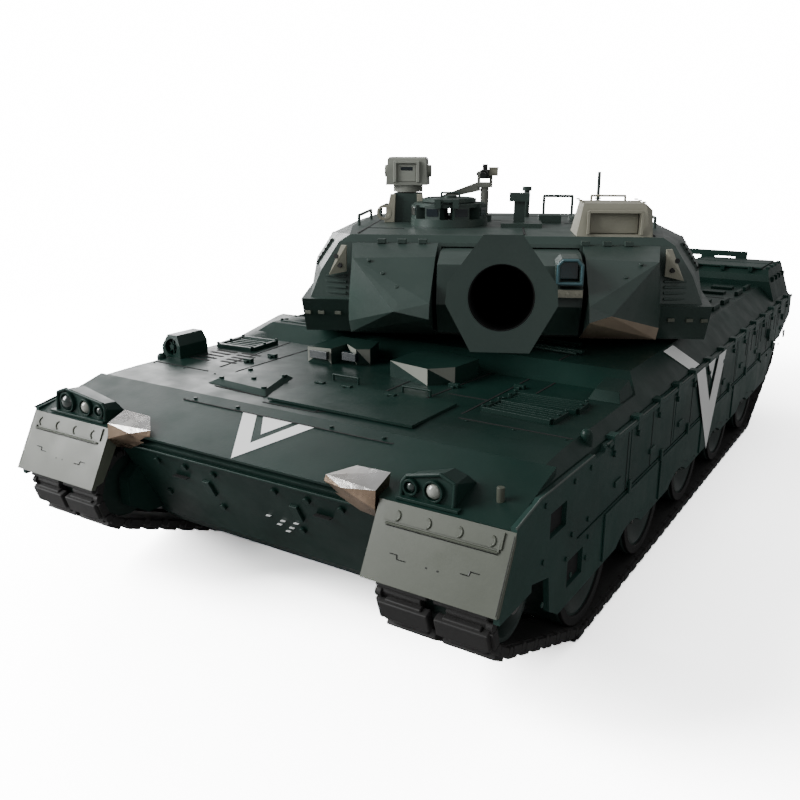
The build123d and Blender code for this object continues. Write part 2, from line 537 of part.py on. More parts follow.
def turret_outside():
    """Outer shape of the turret moulding: lower boxes and flared upper sides, solid."""
    lower = ConvexPolyhedron(both_sides([
        (57.8, 36.9, TURRET_Z), (58, 42, 66.3), (62, 5, 66.3), (59, 5, TURRET_Z), (59, -45, TURRET_Z),
        (62, -45, 66.3), (50, -62, 66.3), (48, -60, TURRET_Z)]))
    upper = ConvexPolyhedron(both_sides([
        (56, 38.5, 66.2), (62, 5, 66.2), (62, -45, 66.2), (50, -62, 66.2), (53, 36.5, 74), (61, 5, 74),
        (61, -45, 74), (49, -62, 74), (48, 34, 82), (55.5, 5, 82), (55.5, -45, 82), (46, -60, 82),
        (45, 32, 84), (49, 5, ROOF_Z), (49, -45, ROOF_Z), (42, -58, ROOF_Z)]))
    return lower.fuse(upper)


def turret_shell():
    """The turret moulding, hollow and open below, notched for the mantlet."""
    cavity = ConvexPolyhedron(both_sides([
        (54, 34, TURRET_Z - 1), (55, -43, TURRET_Z - 1), (45, -57, TURRET_Z - 1), (56, 5, 68), (56, -43, 68),
        (51, 32, 70), (46, -58, 70), (42, 29, 81.5), (46, 3, 82), (46, -43, 82), (40, -55, 82)]))
    shell = turret_outside() - cavity
    shell = shell - block(MANTLET_X[0] - 0.4, MANTLET_X[1] + 0.4, -60, -28, TURRET_Z - 1, 81.0)
    return shell - rod_z(CUPOLA_X, CUPOLA_Y, 8.0, 80, 90)


def turret_cheek(side):
    """Bolt-on wedge armour beside the gun."""
    inner = 1.2 + (MANTLET_X[1] if side > 0 else -MANTLET_X[0])
    return ConvexPolyhedron(side_points([
        (28, 64.4, 67.2), (27, 62.5, 69.1), (inner, 66, 65.6), (inner, 64.3, 69.5), (42, 45.9, 78.8),
        (inner, 46.2, 79.4), (44, 42.2, 64.4), (44, 38.7, TURRET_Z), (inner, 39.6, TURRET_Z),
        (43.6, 36.2, 82.0), (inner, 36.0, 82.2), (43.6, 42.1, 66.4), (44.0, 42.0, 60)],
                                        side)) - turret_outside()


def gun_mantlet():
    """The block that the barrel comes out of, with the coaxial sight port on the left."""
    body = ConvexPolyhedron([(x, -b, z) for b, z in (
        (28.5, 58.0), (50.0, 59.0), (57.0, 68.0), (55.0, 78.5), (44.0, 80.6),
                                                     (28.5, 80.6)) for x in MANTLET_X])
    port = prism_xz([(13.8, 74.2), (20.9, 74.2), (20.9, 79.6), (19.5, 81.2), (15.2, 81.2), (13.8, 79.6)],
                    -60.5, -50)
    port_hole = prism_xz([(14.9, 75.2), (19.8, 75.2), (19.8, 79.0), (18.9, 80.1), (15.8, 80.1),
                          (14.9, 79.0)],
                         -61, -56)
    strip = block(12.6, 21.0, -59.5, -52, 70.8, 73.2)
    return body.fuse(port - port_hole, strip) - gun_rod(6.6, -40, 40)


def gun_barrel():
    """Fixed barrel with sleeve rings, bore evacuator and the eight-sided muzzle block."""
    reach = GUN_REACH
    tube = gun_rod(5.4, 4.0, 60).fuse(gun_rod(4.9, 60, reach - 8), gun_rod(6.55, 2.0, 12.0),
                                      gun_rod(5.9, 48, 70), gun_rod(5.2, 96, 98), gun_rod(5.2, 118, 120))
    outline = [(-2.2, 7.0), (2.2, 7.0), (6.2, 1.5), (6.35, -0.8), (3.35, -6.2), (-3.35, -6.2),
               (-6.35, -0.8), (-6.2, 1.5)]
    face = Plane(origin=(0, -reach, 0), x_dir=(1, 0, 0), z_dir=(0, -1, 0)) * Polygon(*outline, align=None)
    muzzle = gun_place(extrude(face, 13.0, dir=(0, 1, 0)))
    return tube.fuse(muzzle) - gun_rod(BORE_R, 0, reach + 5)


def firing_unit():
    """Cylinder behind the barrel with the pellet tube above and the rear plug."""
    cylinder = gun_rod(6.2, -58.0, 1.5) - gun_rod(4.6, -56.0, -4.0) - gun_rod(BORE_R, -10, 5)
    return cylinder


def firing_piston():
    """Piston with its front seal, hollow for the spring."""
    return gun_rod(4.5, -30.0, -6.0) - gun_rod(3.3, -31, -10.0)


def firing_spring():
    """Compression spring between the piston and the rear plug."""
    turns, pitch, radius = 8, 5.4, 2.5
    coil = Helix(pitch=pitch, height=pitch * turns, radius=radius)
    wire = Plane(origin=coil @ 0, z_dir=coil % 0) * Circle(0.4)
    spring = sweep(wire, path=coil, is_frenet=True)
    return gun_place(Pos(0, 11.4, 0) * Rot(-90, 0, 0) * spring)


def turret_base():
    """Floor plate, ring neck, retaining flange and the slewing ring gear."""
    plate = prism_xy([(-50, -33), (50, -33), (54, 0), (54, 42), (44, 56), (-44, 56), (-54, 42), (-54, 0)],
                     RAISED_DECK_Z + 1.0, TURRET_Z)
    neck = rod_z(0, 0, RING_HOLE_R - 0.5, 49.8, RAISED_DECK_Z + 1.2)
    flange = rod_z(0, 0, RING_HOLE_R + 1.6, 49.8, 52.0)
    teeth = Pos(0, 0, 47.5) * gear(SLEW_M, RING_GEAR_T, 4.8, 0)
    return plate.fuse(neck, flange, teeth) - rod_z(0, 0, 26.5, 40, 60)


def slewing_pinion():
    """Pinion of the turret motor, meshed with the ring gear at rest."""
    toward = math.degrees(math.atan2(SLEW_Y - RING_Y, SLEW_X))
    pitch0, pitch1 = 360 / RING_GEAR_T, 360 / SLEW_T
    lead = (toward - REST_YAW) / pitch0
    phase = lead - math.floor(lead)
    turn = toward + 180 + phase * pitch1 + pitch1 / 2
    wheel = Pos(SLEW_X, SLEW_Y, 46.8) * Rot(0, 0, turn) * gear(SLEW_M, SLEW_T, 4.4, 0)
    return wheel.fuse(rod_z(SLEW_X, SLEW_Y, 1.0, 38.5, 48))


def gunner_sight():
    """Armoured sight box at the front left of the roof, with a recessed window."""
    box = ConvexPolyhedron([(a, -b, z) for a, b, z in (
        (20.4, 31.5, 82.0), (42.3, 31.5, 82.0), (22.6, 29.0, 93.2), (40.0, 29.0, 93.2), (42.0, 28.5, 91.4),
        (20.4, 13.0, 84.2), (42.3, 13.0, 84.2), (22.6, 13.0, 93.2), (40.0, 13.0, 93.2), (42.0, 13.0, 91.4))])
    return box - block(24.5, 38.5, -40, -27.5, 84.6, 90.6) - turret_outside()


def turret_basket():
    """Rear stowage basket, side rails and the aerial bases with short aerials."""
    pieces = []
    for z in (67.0, 73.0, 79.0):
        rail = [(-46, 60.5), (-46, 74), (-40, 78), (40, 78), (46, 74), (46, 60.5)]
        outer = prism_xy(rail, z - 0.7, z + 0.7)
        inner = prism_xy([(-44.6, 50), (-44.6, 73.4), (-39.5, 76.6), (39.5, 76.6), (44.6, 73.4), (44.6, 50)],
                         z - 1, z + 1)
        pieces.append(outer - inner)
    for x in (-39.0, -20.0, 0.0, 20.0, 39.0):
        pieces.append(block(x - 0.7, x + 0.7, 76.5, 78.0, 66.3, 79.7))
    for side in (1, -1):
        pieces.append(block(side * 44.6, side * 46.0, 64, 65.4, 66.3, 79.7))
    floor = prism_xy([(-45.5, 60.5), (-45.5, 74), (-40, 77.5), (40, 77.5), (45.5, 74), (45.5, 60.5)],
                     65.6, 66.6)
    basket = floor.fuse(*pieces)
    basket = basket - turret_outside()
    aerials = []
    for x, y, height in ((34.0, 44.0, 16.0), (-36.0, 44.0, 16.0)):
        aerials.append(rod_z(x, y, 1.8, ROOF_Z, 87.0).fuse(rod_z(x, y, 0.6, 87.0, ROOF_Z + height)))
    return group(basket, *aerials)


def smoke_launchers():
    """Angled plates with four stubby launch tubes on each side."""
    pieces = []
    for side in (1, -1):
        plate = ConvexPolyhedron(side_points([
            (45.2, 36.6, 74.0), (50.3, 37.6, 73.0), (44.8, 38.6, 81.5), (46.6, 37.4, 81.5),
            (45.0, 38.8, 74.0), (50.1, 40.0, 73.0), (44.8, 40.0, 81.5), (46.4, 39.6, 81.5)], side))
        pieces.append(plate - turret_outside())
    return group(*pieces)


def commander_cupola():
    """Ring with periscope hoods and the lid's hinge ears, the second gun cradle, and the pedestals."""
    ring = rod_z(CUPOLA_X, CUPOLA_Y, 12.5, ROOF_Z, ROOF_Z + 2.4)
    hoods = []
    for i in range(8):
        turn = 45.0 * i + 22.5
        hoods.append(Pos(CUPOLA_X, CUPOLA_Y, 0) * Rot(0, 0, turn) * Pos(10.3, 0, 88.6) * Box(3.6, 5.2, 4.4))
    rim = rod_z(CUPOLA_X, CUPOLA_Y, 11.4, 90.2, RIM_Z)
    ears = [block(x, x + 1.9, LID_HINGE_Y - 1.1, LID_HINGE_Y + 1.1, 90.2, 93.0)
            for x in (CUPOLA_X - 3.8, CUPOLA_X + 1.9)]
    cupola = ring.fuse(*hoods, rim, *ears) - rod_z(CUPOLA_X, CUPOLA_Y, 8.0, 80, 95)
    cupola = cupola - rod_x(LID_HINGE_Y, LID_HINGE_Z, 0.5 + RUN_GAP, CUPOLA_X - 6, CUPOLA_X + 6)
    cradle = block(-1.0, 12.0, -6.0, 8.0, ROOF_Z, ROOF_Z + 1.2).fuse(
        block(3.0, 6.5, -1.0, 2.5, ROOF_Z + 1.0, 92.2), block(1.5, 8.0, -2.0, 3.5, 92.0, 94.6))
    pedestal = Pos(SIGHT_X, SIGHT_Y, ROOF_Z + 4.8) * Box(9, 9, 9.6) - rod_z(SIGHT_X, SIGHT_Y,
                                                            2.2 + RUN_GAP, 80, 100)
    socket = rod_z(GUN_POST_X, GUN_POST_Y, 2.6, ROOF_Z, ROOF_Z + 2.0)
    socket = socket - rod_z(GUN_POST_X, GUN_POST_Y, 1.4 + RUN_GAP, 80, 100)
    return group(cupola, cradle, pedestal, socket)


def loading_hatch():
    """Lid of the pellet magazine, hinged at its front edge above the cupola rim."""
    lid = rod_z(CUPOLA_X, CUPOLA_Y, 8.8, RIM_Z + 0.3, RIM_Z + 1.3)
    knob = rod_z(CUPOLA_X, CUPOLA_Y + 3, 2.2, RIM_Z + 1.0, RIM_Z + 2.0)
    lug = block(CUPOLA_X - 1.5, CUPOLA_X + 1.5, LID_HINGE_Y - 0.4, LID_HINGE_Y + 4.5, RIM_Z + 0.4,
                RIM_Z + 1.5)
    pin = rod_x(LID_HINGE_Y, LID_HINGE_Z, 0.5, CUPOLA_X - 3.6, CUPOLA_X + 3.6)
    return lid.fuse(knob, lug, pin)


def panoramic_sight():
    """Commander's turning sight head on its spindle."""
    head = ConvexPolyhedron([(x * 7 / 6, y * 11 / 12, z) for x, y, z in (
        (-6, -6, 96.5), (6, -6, 96.5), (-6, 6, 96.5), (6, 6, 96.5), (-5.5, -5.5, 105.0), (5.5, -5.5, 105.0),
        (-5.5, 5.5, 105.0), (5.5, 5.5, 105.0), (-5, -5, 105.6), (5, -5, 105.6), (-5, 5, 105.6),
                                                            (5, 5, 105.6))])
    window = block(-3.0, 3.0, -7, -4.6, 97.5, 103.5)
    collar = rod_z(0, 0, 5.0, 94.2, 96.5)
    spindle = rod_z(0, 0, 2.2, 85.0, 95.0)
    return Pos(SIGHT_X, SIGHT_Y, 0) * (head - window).fuse(collar, spindle)


def machine_gun_mount():
    """Post, slanted arm and the two ears that carry the gun."""
    x, y = GUN_POST_X, GUN_POST_Y
    post = rod_z(x, y, 1.4, ROOF_Z + 0.1, 95.6)
    top = block(x - 2.6, x + 2.6, y - 1.8, y + 1.8, 95.5, 97.2)
    arm = ConvexPolyhedron([(x - along, y + across, z) for across in (-1.2, 1.2) for along, z in (
        (16.0, 92.2), (13.5, 91.7), (2.0, 97.4), (1.4, 94.4))])
    ears = [block(x + x0, x + x0 + 1.0, y - 1.4, y + 1.4, 97.1, 100.8) for x0 in (-2.6, 1.6)]
    return post.fuse(top, arm, *ears) - rod_x(y, GUN_PIN_Z, 0.5 + RUN_GAP, x - 5, x + 5)


def machine_gun():
    """Receiver with its trunnion pin, sleeved barrel, grips and top peg."""
    x, y = GUN_POST_X, GUN_POST_Y
    receiver = block(x - 1.3, x + 1.3, y - 8, y + 7, 98.6, 101.3)
    barrel = Pos(x, y - 18, 100.2) * Rot(90, 0, 0) * Cylinder(0.7, 21.0)
    sleeve = Pos(x, y - 11, 100.2) * Rot(90, 0, 0) * Cylinder(1.1, 7.0)
    grips = block(x - 2.0, x + 2.0, y + 6.5, y + 8.2, 99.0, 100.0)
    peg = rod_z(x, y - 1, 0.9, 101.0, 103.2)
    pin = rod_x(y, GUN_PIN_Z, 0.5, x - 3.0, x + 3.0)
    return receiver.fuse(barrel, sleeve, grips, peg, pin)


# ---------------------------------------------------------------- assembly
def build_hull():
    nodes["lower_hull"] = lower_hull()
    nodes["upper_hull"] = upper_hull()
    skirt = side_skirt()
    nodes["side_skirt_left"] = skirt
    nodes["side_skirt_right"] = mirrored(skirt)
    flap = mud_flap()
    nodes["mud_flap_left"] = flap
    nodes["mud_flap_right"] = mirrored(flap)
    clusters = ((1, LAMPS[:2], 54.0), (-1, LAMPS, 60.5))
    nodes["headlight_housings"] = group(*[headlight_housing(*cluster) for cluster in clusters])
    nodes["headlight_lenses"] = group(*[lens for side, lamps,
                                        _ in clusters for lens in headlight_lens(side, lamps)])
    nodes["corner_lamp_covers"] = group(corner_lamp(), mirrored(corner_lamp()))
    nodes["driver_hatch"] = driver_hatch()
    nodes["fan_housing"] = fan_housing()
    nodes["engine_deck"] = engine_deck()
    nodes["rear_fittings"] = rear_fittings()
    hull_electrics()
    battery_hatch()


def build_running_gear():
    belt = track()
    nodes["track_left"] = belt
    nodes["track_right"] = mirrored(belt)
    nodes["wheel_axles"] = wheel_axles()
    for number, y in enumerate(WHEEL_Y, 1):
        wheel = road_wheel(y)
        nodes[f"road_wheel_left_{number}"] = wheel
        nodes[f"road_wheel_right_{number}"] = mirrored(wheel)
    nodes["idler_wheel_left"] = idler_wheel()
    nodes["idler_wheel_right"] = mirrored(idler_wheel())
    sprocket = drive_sprocket()
    nodes["drive_sprocket_left"] = sprocket
    nodes["drive_sprocket_right"] = mirrored(sprocket)
    compound, motor_gear = drive_gears()
    nodes["reduction_gear_left"] = compound
    nodes["reduction_gear_right"] = mirrored(compound)
    nodes["motor_pinion_left"] = motor_gear
    nodes["motor_pinion_right"] = mirrored(motor_gear)
    nodes["slewing_pinion"] = slewing_pinion()


def build_turret():
    nodes["turret_base"] = turret(turret_base())
    nodes["turret_shell"] = turret(turret_shell())
    nodes["turret_cheeks"] = group(turret(turret_cheek(1)), turret(turret_cheek(-1)))
    nodes["gun_mantlet"] = turret(gun_mantlet())
    nodes["gun_barrel"] = turret(gun_barrel())
    nodes["firing_unit"] = turret(firing_unit())
    nodes["firing_piston"] = turret(firing_piston())
    nodes["firing_spring"] = turret(firing_spring())
    nodes["gunner_sight"] = turret(gunner_sight())
    nodes["turret_basket"] = turret(turret_basket())
    nodes["smoke_launchers"] = turret(smoke_launchers())
    nodes["commander_cupola"] = turret(commander_cupola())
    nodes["loading_hatch"] = turret(loading_hatch())
    nodes["panoramic_sight"] = turret(panoramic_sight())
    nodes["machine_gun_mount"] = turret(machine_gun_mount())
    nodes["machine_gun"] = turret(machine_gun())


def bounds():
    """Lowest and highest corners of everything, in the drawing frame."""
    boxes = [part.bounding_box() for part in nodes.values()]
    low = [min(getattr(box.min, axis) for box in boxes) for axis in "XYZ"]
    high = [max(getattr(box.max, axis) for box in boxes) for axis in "XYZ"]
    return low, high


def origin_shift():
    """From the drawing frame to the middle of the box at ground level."""
    low, high = bounds()
    return (-(low[0] + high[0]) / 2, -(low[1] + high[1]) / 2, -low[2])


build_hull()
build_running_gear()
build_turret()
SHIFT = origin_shift()
os.makedirs("parts", exist_ok=True)
for name, part in nodes.items():
    export_step(Pos(*SHIFT) * part, f"parts/{name}.step")
print("shift", [round(value, 3) for value in SHIFT], "nodes", len(nodes))
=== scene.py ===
"""Looks for the radio-controlled battle tank: materials, belts, fittings, markings, light and camera.

Pieces are drawn in millimetres in one of two drawing frames. The hull frame has X across (+X is the
tank's left), Y backwards from the nose edge and Z up from the ground. The turret frame is the same
about the turret ring, with the gun along -Y, and is turned by the turret's rest angle.
"""

import bpy
import bmesh
import json
import math
from mathutils import Matrix, Vector
from mathutils.bvhtree import BVHTree


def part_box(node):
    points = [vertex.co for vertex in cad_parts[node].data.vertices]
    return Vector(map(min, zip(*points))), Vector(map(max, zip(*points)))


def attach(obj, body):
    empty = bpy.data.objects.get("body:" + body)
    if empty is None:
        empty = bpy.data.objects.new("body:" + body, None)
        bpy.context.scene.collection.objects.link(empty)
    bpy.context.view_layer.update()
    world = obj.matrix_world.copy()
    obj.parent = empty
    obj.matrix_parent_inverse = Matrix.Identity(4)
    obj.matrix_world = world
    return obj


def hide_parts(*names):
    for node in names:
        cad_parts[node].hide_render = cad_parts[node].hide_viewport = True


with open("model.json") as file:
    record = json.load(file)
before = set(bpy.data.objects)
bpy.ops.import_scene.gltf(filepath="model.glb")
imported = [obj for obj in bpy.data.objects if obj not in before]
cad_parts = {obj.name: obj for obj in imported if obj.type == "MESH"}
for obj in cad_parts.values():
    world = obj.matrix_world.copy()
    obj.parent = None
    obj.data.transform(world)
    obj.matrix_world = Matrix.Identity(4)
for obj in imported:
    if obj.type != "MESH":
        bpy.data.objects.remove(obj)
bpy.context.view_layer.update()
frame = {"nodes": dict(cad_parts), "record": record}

# ---------------------------------------------------------------- places, in millimetres
MM = 0.001
REST_YAW = math.radians(25.85)
GUN_ELEVATION = math.radians(7.6)
TRUNNION = Vector((0, -45.0, 73.0))
hull_low, hull_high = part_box("upper_hull")
ring = next(j for j in frame["record"]["behaviour"]["joints"] if j["name"] == "turret_yaw")["pos_m"]
HULL = Matrix.Translation(((hull_low[0] + hull_high[0]) / 2, hull_low[1], 0)) @ Matrix.Scale(MM, 4)
TURRET = (Matrix.Translation((ring[0], ring[1], 0)) @ Matrix.Rotation(REST_YAW, 4, "Z")
          @ Matrix.Scale(MM, 4))
GUN = TURRET @ Matrix.Translation(TRUNNION) @ Matrix.Rotation(-GUN_ELEVATION, 4, "X")

DECK_Z, RAISED_Z, ROOF_Z = 50.0, 54.0, 84.2
SKIRT_X = 67.5
TRACK_IN, TRACK_OUT = 41.2, 65.0
GROOVE_HALF = 2.7                       # half width left free for the sprocket teeth
IDLER = (6.1, 27.0, 11.3)               # along, height, belt radius
SPROCKET = (255.0, 29.0, 13.0)
RAMPS = (math.radians(22.4), math.radians(25.0))
WHEELS = [45.0 + 42.6 * i for i in range(5)]
WHEEL_Z = 18.2
SIDES = ((1, "left"), (-1, "right"))
SIGHT, CUPOLA, GUN_POST = (-33.0, 15.0), (-18.0, 2.0), (-7.0, 20.0)      # turret frame
RAIL_Y = (-20.0, 2.0)                   # perforated rails down the turret's sides
RAIL_LOW, RAIL_TOP = 73.2, 81.2
RAIL_HOLES = 6
CAMERA_SPOT = (123.32, -124.51, 108.03)
CAMERA_AZIMUTH, CAMERA_ELEVATION = math.radians(32.711), math.radians(16.449)
FOCAL_LENGTH, SENSOR_WIDTH = 38.21, 36.0


def glacis_z(y):
    """Height of the front slope and front deck."""
    return 44.2 + 0.27 * y if y < 20 else min(49.6 + 0.04 * (y - 20), DECK_Z)


# ---------------------------------------------------------------- materials
def node(tree, kind, **inputs):
    made = tree.nodes.new(kind)
    for name, value in inputs.items():
        made.inputs[name.replace("_", " ")].default_value = value
    return made


def noise(tree, coords, scale, detail=4.0, rough=0.55):
    made = node(tree, "ShaderNodeTexNoise", Scale=scale, Detail=detail, Roughness=rough)
    tree.links.new(coords, made.inputs["Vector"])
    return made.outputs["Fac"]


def ramp(tree, value, low, high, start, end):
    made = tree.nodes.new("ShaderNodeMapRange")
    made.inputs["From Min"].default_value = start
    made.inputs["From Max"].default_value = end
    made.inputs["To Min"].default_value = low
    made.inputs["To Max"].default_value = high
    tree.links.new(value, made.inputs["Value"])
    return made.outputs["Result"]


def mix(tree, factor, first, second):
    made = tree.nodes.new("ShaderNodeMix")
    made.data_type = "RGBA"
    tree.links.new(factor, made.inputs["Factor"])
    for socket, colour in ((made.inputs["A"], first), (made.inputs["B"], second)):
        if isinstance(colour, bpy.types.NodeSocket):
            tree.links.new(colour, socket)
        else:
            socket.default_value = (*colour, 1)
    return made.outputs["Result"]


def surface(name, colour, rough=0.42, tone=0.22, grain=0.12, grain_scale=1400, edge_wear_and_highlight=0.35, metallic=0.0,
            edge=None, dust=0.0, spread=0.08, shine=0.5):
    """A moulded or metal surface: uneven tone, fine grain, a little dust, and lighter edges that are partly
    rubbed wear and partly painted highlight.
    """
    made = bpy.data.materials.new(name)
    made.use_nodes = True
    tree = made.node_tree
    shader = tree.nodes["Principled BSDF"]
    shader.inputs["Metallic"].default_value = metallic
    shader.inputs["Specular IOR Level"].default_value = shine
    place = tree.nodes.new("ShaderNodeTexCoord").outputs["Object"]
    broad = noise(tree, place, 38)
    fine = noise(tree, place, grain_scale, 3.0)
    low = tuple(c * (1 - tone) for c in colour)
    high = tuple(min(1.0, c * (1 + tone)) for c in colour)
    shade = mix(tree, ramp(tree, broad, 0, 1, 0.35, 0.65), low, high)
    if dust:
        patches = ramp(tree, noise(tree, place, 160, 6.0, 0.7), 0, dust, 0.5, 0.75)
        shade = mix(tree, patches, shade, (0.32, 0.31, 0.27))
    # Sharp edges are lightened: partly rubbed wear, partly a painted highlight along the edges.
    if edge_wear_and_highlight:
        sharp = tree.nodes.new("ShaderNodeNewGeometry").outputs["Pointiness"]
        edge_wear_and_highlight_mask = ramp(tree, sharp, 0, edge_wear_and_highlight, 0.505, 0.57)
        shade = mix(tree, edge_wear_and_highlight_mask, shade, edge or tuple(min(1.0, c * 2.0 + 0.008) for c in colour))
    tree.links.new(shade, shader.inputs["Base Color"])
    patchy = ramp(tree, noise(tree, place, 120), rough - spread, rough + spread, 0.3, 0.7)
    tree.links.new(patchy, shader.inputs["Roughness"])
    bump = node(tree, "ShaderNodeBump", Strength=grain, Distance=0.0001)
    tree.links.new(fine, bump.inputs["Height"])
    tree.links.new(bump.outputs["Normal"], shader.inputs["Normal"])
    return made


HULL_GREEN = surface("hull_green", (0.0042, 0.0180, 0.0138), 0.40, shine=0.22, dust=0.005, edge_wear_and_highlight=0.25)
# The turret's green is made lighter than the hull's, and its last lift of about 15 percent makes up for key
# light the turret lacks: that part is painted light.
TURRET_GREEN = surface("turret_green", (0.0200, 0.0355, 0.0300), 0.42, dust=0.02, edge_wear_and_highlight=0.3)
SKIRT_GREEN = surface("skirt_green", (0.0100, 0.0350, 0.0285), 0.40, shine=0.35, dust=0.005, edge_wear_and_highlight=0.25)
FLAP_GREY = surface("flap_grey", (0.062, 0.070, 0.053), 0.40, tone=0.10, edge_wear_and_highlight=0.2, dust=0.04)
KHAKI = surface("khaki", (0.210, 0.206, 0.162), 0.45, tone=0.15, dust=0.05, edge_wear_and_highlight=0.25)
DETAIL_GREY = surface("detail_grey", (0.175, 0.184, 0.160), 0.45, tone=0.15)
WHEEL_GREEN = surface("wheel_green", (0.0075, 0.0190, 0.0155), 0.45, dust=0.01, edge_wear_and_highlight=0.2)
TYRE = surface("wheel_tyre", (0.006, 0.006, 0.006), 0.62, edge_wear_and_highlight=0.0)
BELT = surface("belt_black", (0.0110, 0.0106, 0.0104), 0.66, tone=0.3, grain=0.5, grain_scale=700, edge_wear_and_highlight=0.12)
BLACK = surface("black_plastic", (0.005, 0.006, 0.006), 0.35, edge_wear_and_highlight=0.1)
SHADOW = surface("groove_shadow", (0.0015, 0.0025, 0.0025), 0.8, edge_wear_and_highlight=0.0, grain=0.0)
GEAR = surface("gear_nylon", (0.62, 0.61, 0.56), 0.35, tone=0.05, edge_wear_and_highlight=0.0)
BOARD = surface("board_green", (0.010, 0.090, 0.030), 0.30, grain_scale=300)
STEEL = surface("steel", (0.30, 0.30, 0.29), 0.32, tone=0.08, metallic=1.0, edge_wear_and_highlight=0.0)
SLEEVE = surface("cell_sleeve", (0.010, 0.130, 0.620), 0.18, tone=0.06, grain=0.02, edge_wear_and_highlight=0.0, spread=0.03)
RED_WIRE = surface("red_wire", (0.500, 0.015, 0.012), 0.35, edge_wear_and_highlight=0.0)
CHROME = surface("lamp_chrome", (0.95, 0.88, 0.80), 0.24, tone=0.35, grain=0.8, grain_scale=420, edge_wear_and_highlight=0.0,
                 metallic=1.0, spread=0.08)
# A darker brown chrome for the lamp covers' downward facets: painted shade.
CHROME_SHADE = surface("lamp_chrome_shade", (0.30, 0.22, 0.16), 0.30, tone=0.8, grain=1.0, grain_scale=900, edge_wear_and_highlight=0.0,
                 metallic=1.0, spread=0.12)
MARKING = surface("white_marking", (0.90, 0.91, 0.90), 0.45, tone=0.04, edge_wear_and_highlight=0.0)
# A lighter green line for the skirts' top edges: painted highlight where the edge catches the light.
EDGE_HIGHLIGHT = surface("painted_edge_highlight", (0.050, 0.068, 0.060), 0.40, edge_wear_and_highlight=0.0)
EARTH = surface("nose_brown", (0.260, 0.205, 0.150), 0.55, tone=0.25, dust=0.05)


def glass(name, colour, rough):
    """Shiny coated plastic for lamps and windows."""
    made = surface(name, colour, rough, tone=0.04, grain=0.0, edge_wear_and_highlight=0.0, spread=0.02)
    shader = made.node_tree.nodes["Principled BSDF"]
    shader.inputs["Coat Weight"].default_value = 1.0
    shader.inputs["Coat Roughness"].default_value = 0.03
    return made


LENS = glass("lamp_lens", (0.30, 0.31, 0.28), 0.12)
DARK_LENS = glass("dark_lens", (0.020, 0.032, 0.028), 0.15)
DARK_GLASS = glass("sight_glass", (0.008, 0.014, 0.018), 0.05)
TEAL_GLASS = glass("port_glass", (0.006, 0.045, 0.055), 0.06)
TEAL_RIM = surface("port_rim", (0.05, 0.11, 0.125), 0.3, edge_wear_and_highlight=0.0)

CAD_LOOKS = {
    HULL_GREEN: ["lower_hull", "upper_hull", "driver_hatch", "engine_deck", "battery_door", "rear_fittings",
                 "headlight_housings", "fan_housing"],
    SKIRT_GREEN: ["side_skirt_left", "side_skirt_right"],
    TURRET_GREEN: ["turret_base", "turret_shell", "turret_cheeks", "gun_mantlet", "gun_barrel",
                   "turret_basket", "commander_cupola", "loading_hatch"],
    FLAP_GREY: ["mud_flap_left", "mud_flap_right"],
    KHAKI: ["gunner_sight", "smoke_launchers"],
    DETAIL_GREY: ["panoramic_sight", "machine_gun_mount"],
    BLACK: ["machine_gun", "power_switch", "battery_plug", "firing_unit"],
    CHROME: ["corner_lamp_covers"],
    LENS: ["headlight_lenses"],
    BELT: ["track_left", "track_right"],
    STEEL: ["wheel_axles", "hull_screws", "drive_motors", "turret_motor", "firing_spring"],
    GEAR: ["firing_piston", "slewing_pinion", "reduction_gear_left", "reduction_gear_right",
           "motor_pinion_left", "motor_pinion_right"],
    SLEEVE: ["battery_cell"],
    RED_WIRE: ["battery_lead"],
    BOARD: ["circuit_board"],
    WHEEL_GREEN: [f"{kind}_{side}" for kind in ("idler_wheel", "drive_sprocket") for _, side in SIDES]
    + [f"road_wheel_{side}_{i + 1}" for _, side in SIDES for i in range(5)],
}
for look, names in CAD_LOOKS.items():
    for name in names:
        cad = frame["nodes"][name]
        cad.data.materials.clear()
        cad.data.materials.append(look)


def second_look(name, look, test):
    """A second material on the faces of a CAD node that pass a test of centre (metres) and normal."""
    cad = frame["nodes"][name]
    cad.data.materials.append(look)
    turn = cad.matrix_world.to_3x3()
    for face in cad.data.polygons:
        if test(cad.matrix_world @ face.center, (turn @ face.normal).normalized()):
            face.material_index = 1


second_look("headlight_lenses", DARK_LENS,
            lambda centre, normal: not 0.047 < abs(centre.x - HULL.translation.x) < 0.053)
# Lamp-cover facets that face down get the darker chrome: painted shade.
second_look("corner_lamp_covers", CHROME_SHADE, lambda centre, normal: normal.z < 0.35)
second_look("driver_hatch", DETAIL_GREY, lambda centre, normal: normal.y < -0.6 and centre.z > 0.0515)
second_look("turret_cheeks", EARTH,
            lambda centre, normal: normal.z < -0.25 and (TURRET.inverted() @ centre).x > 0)


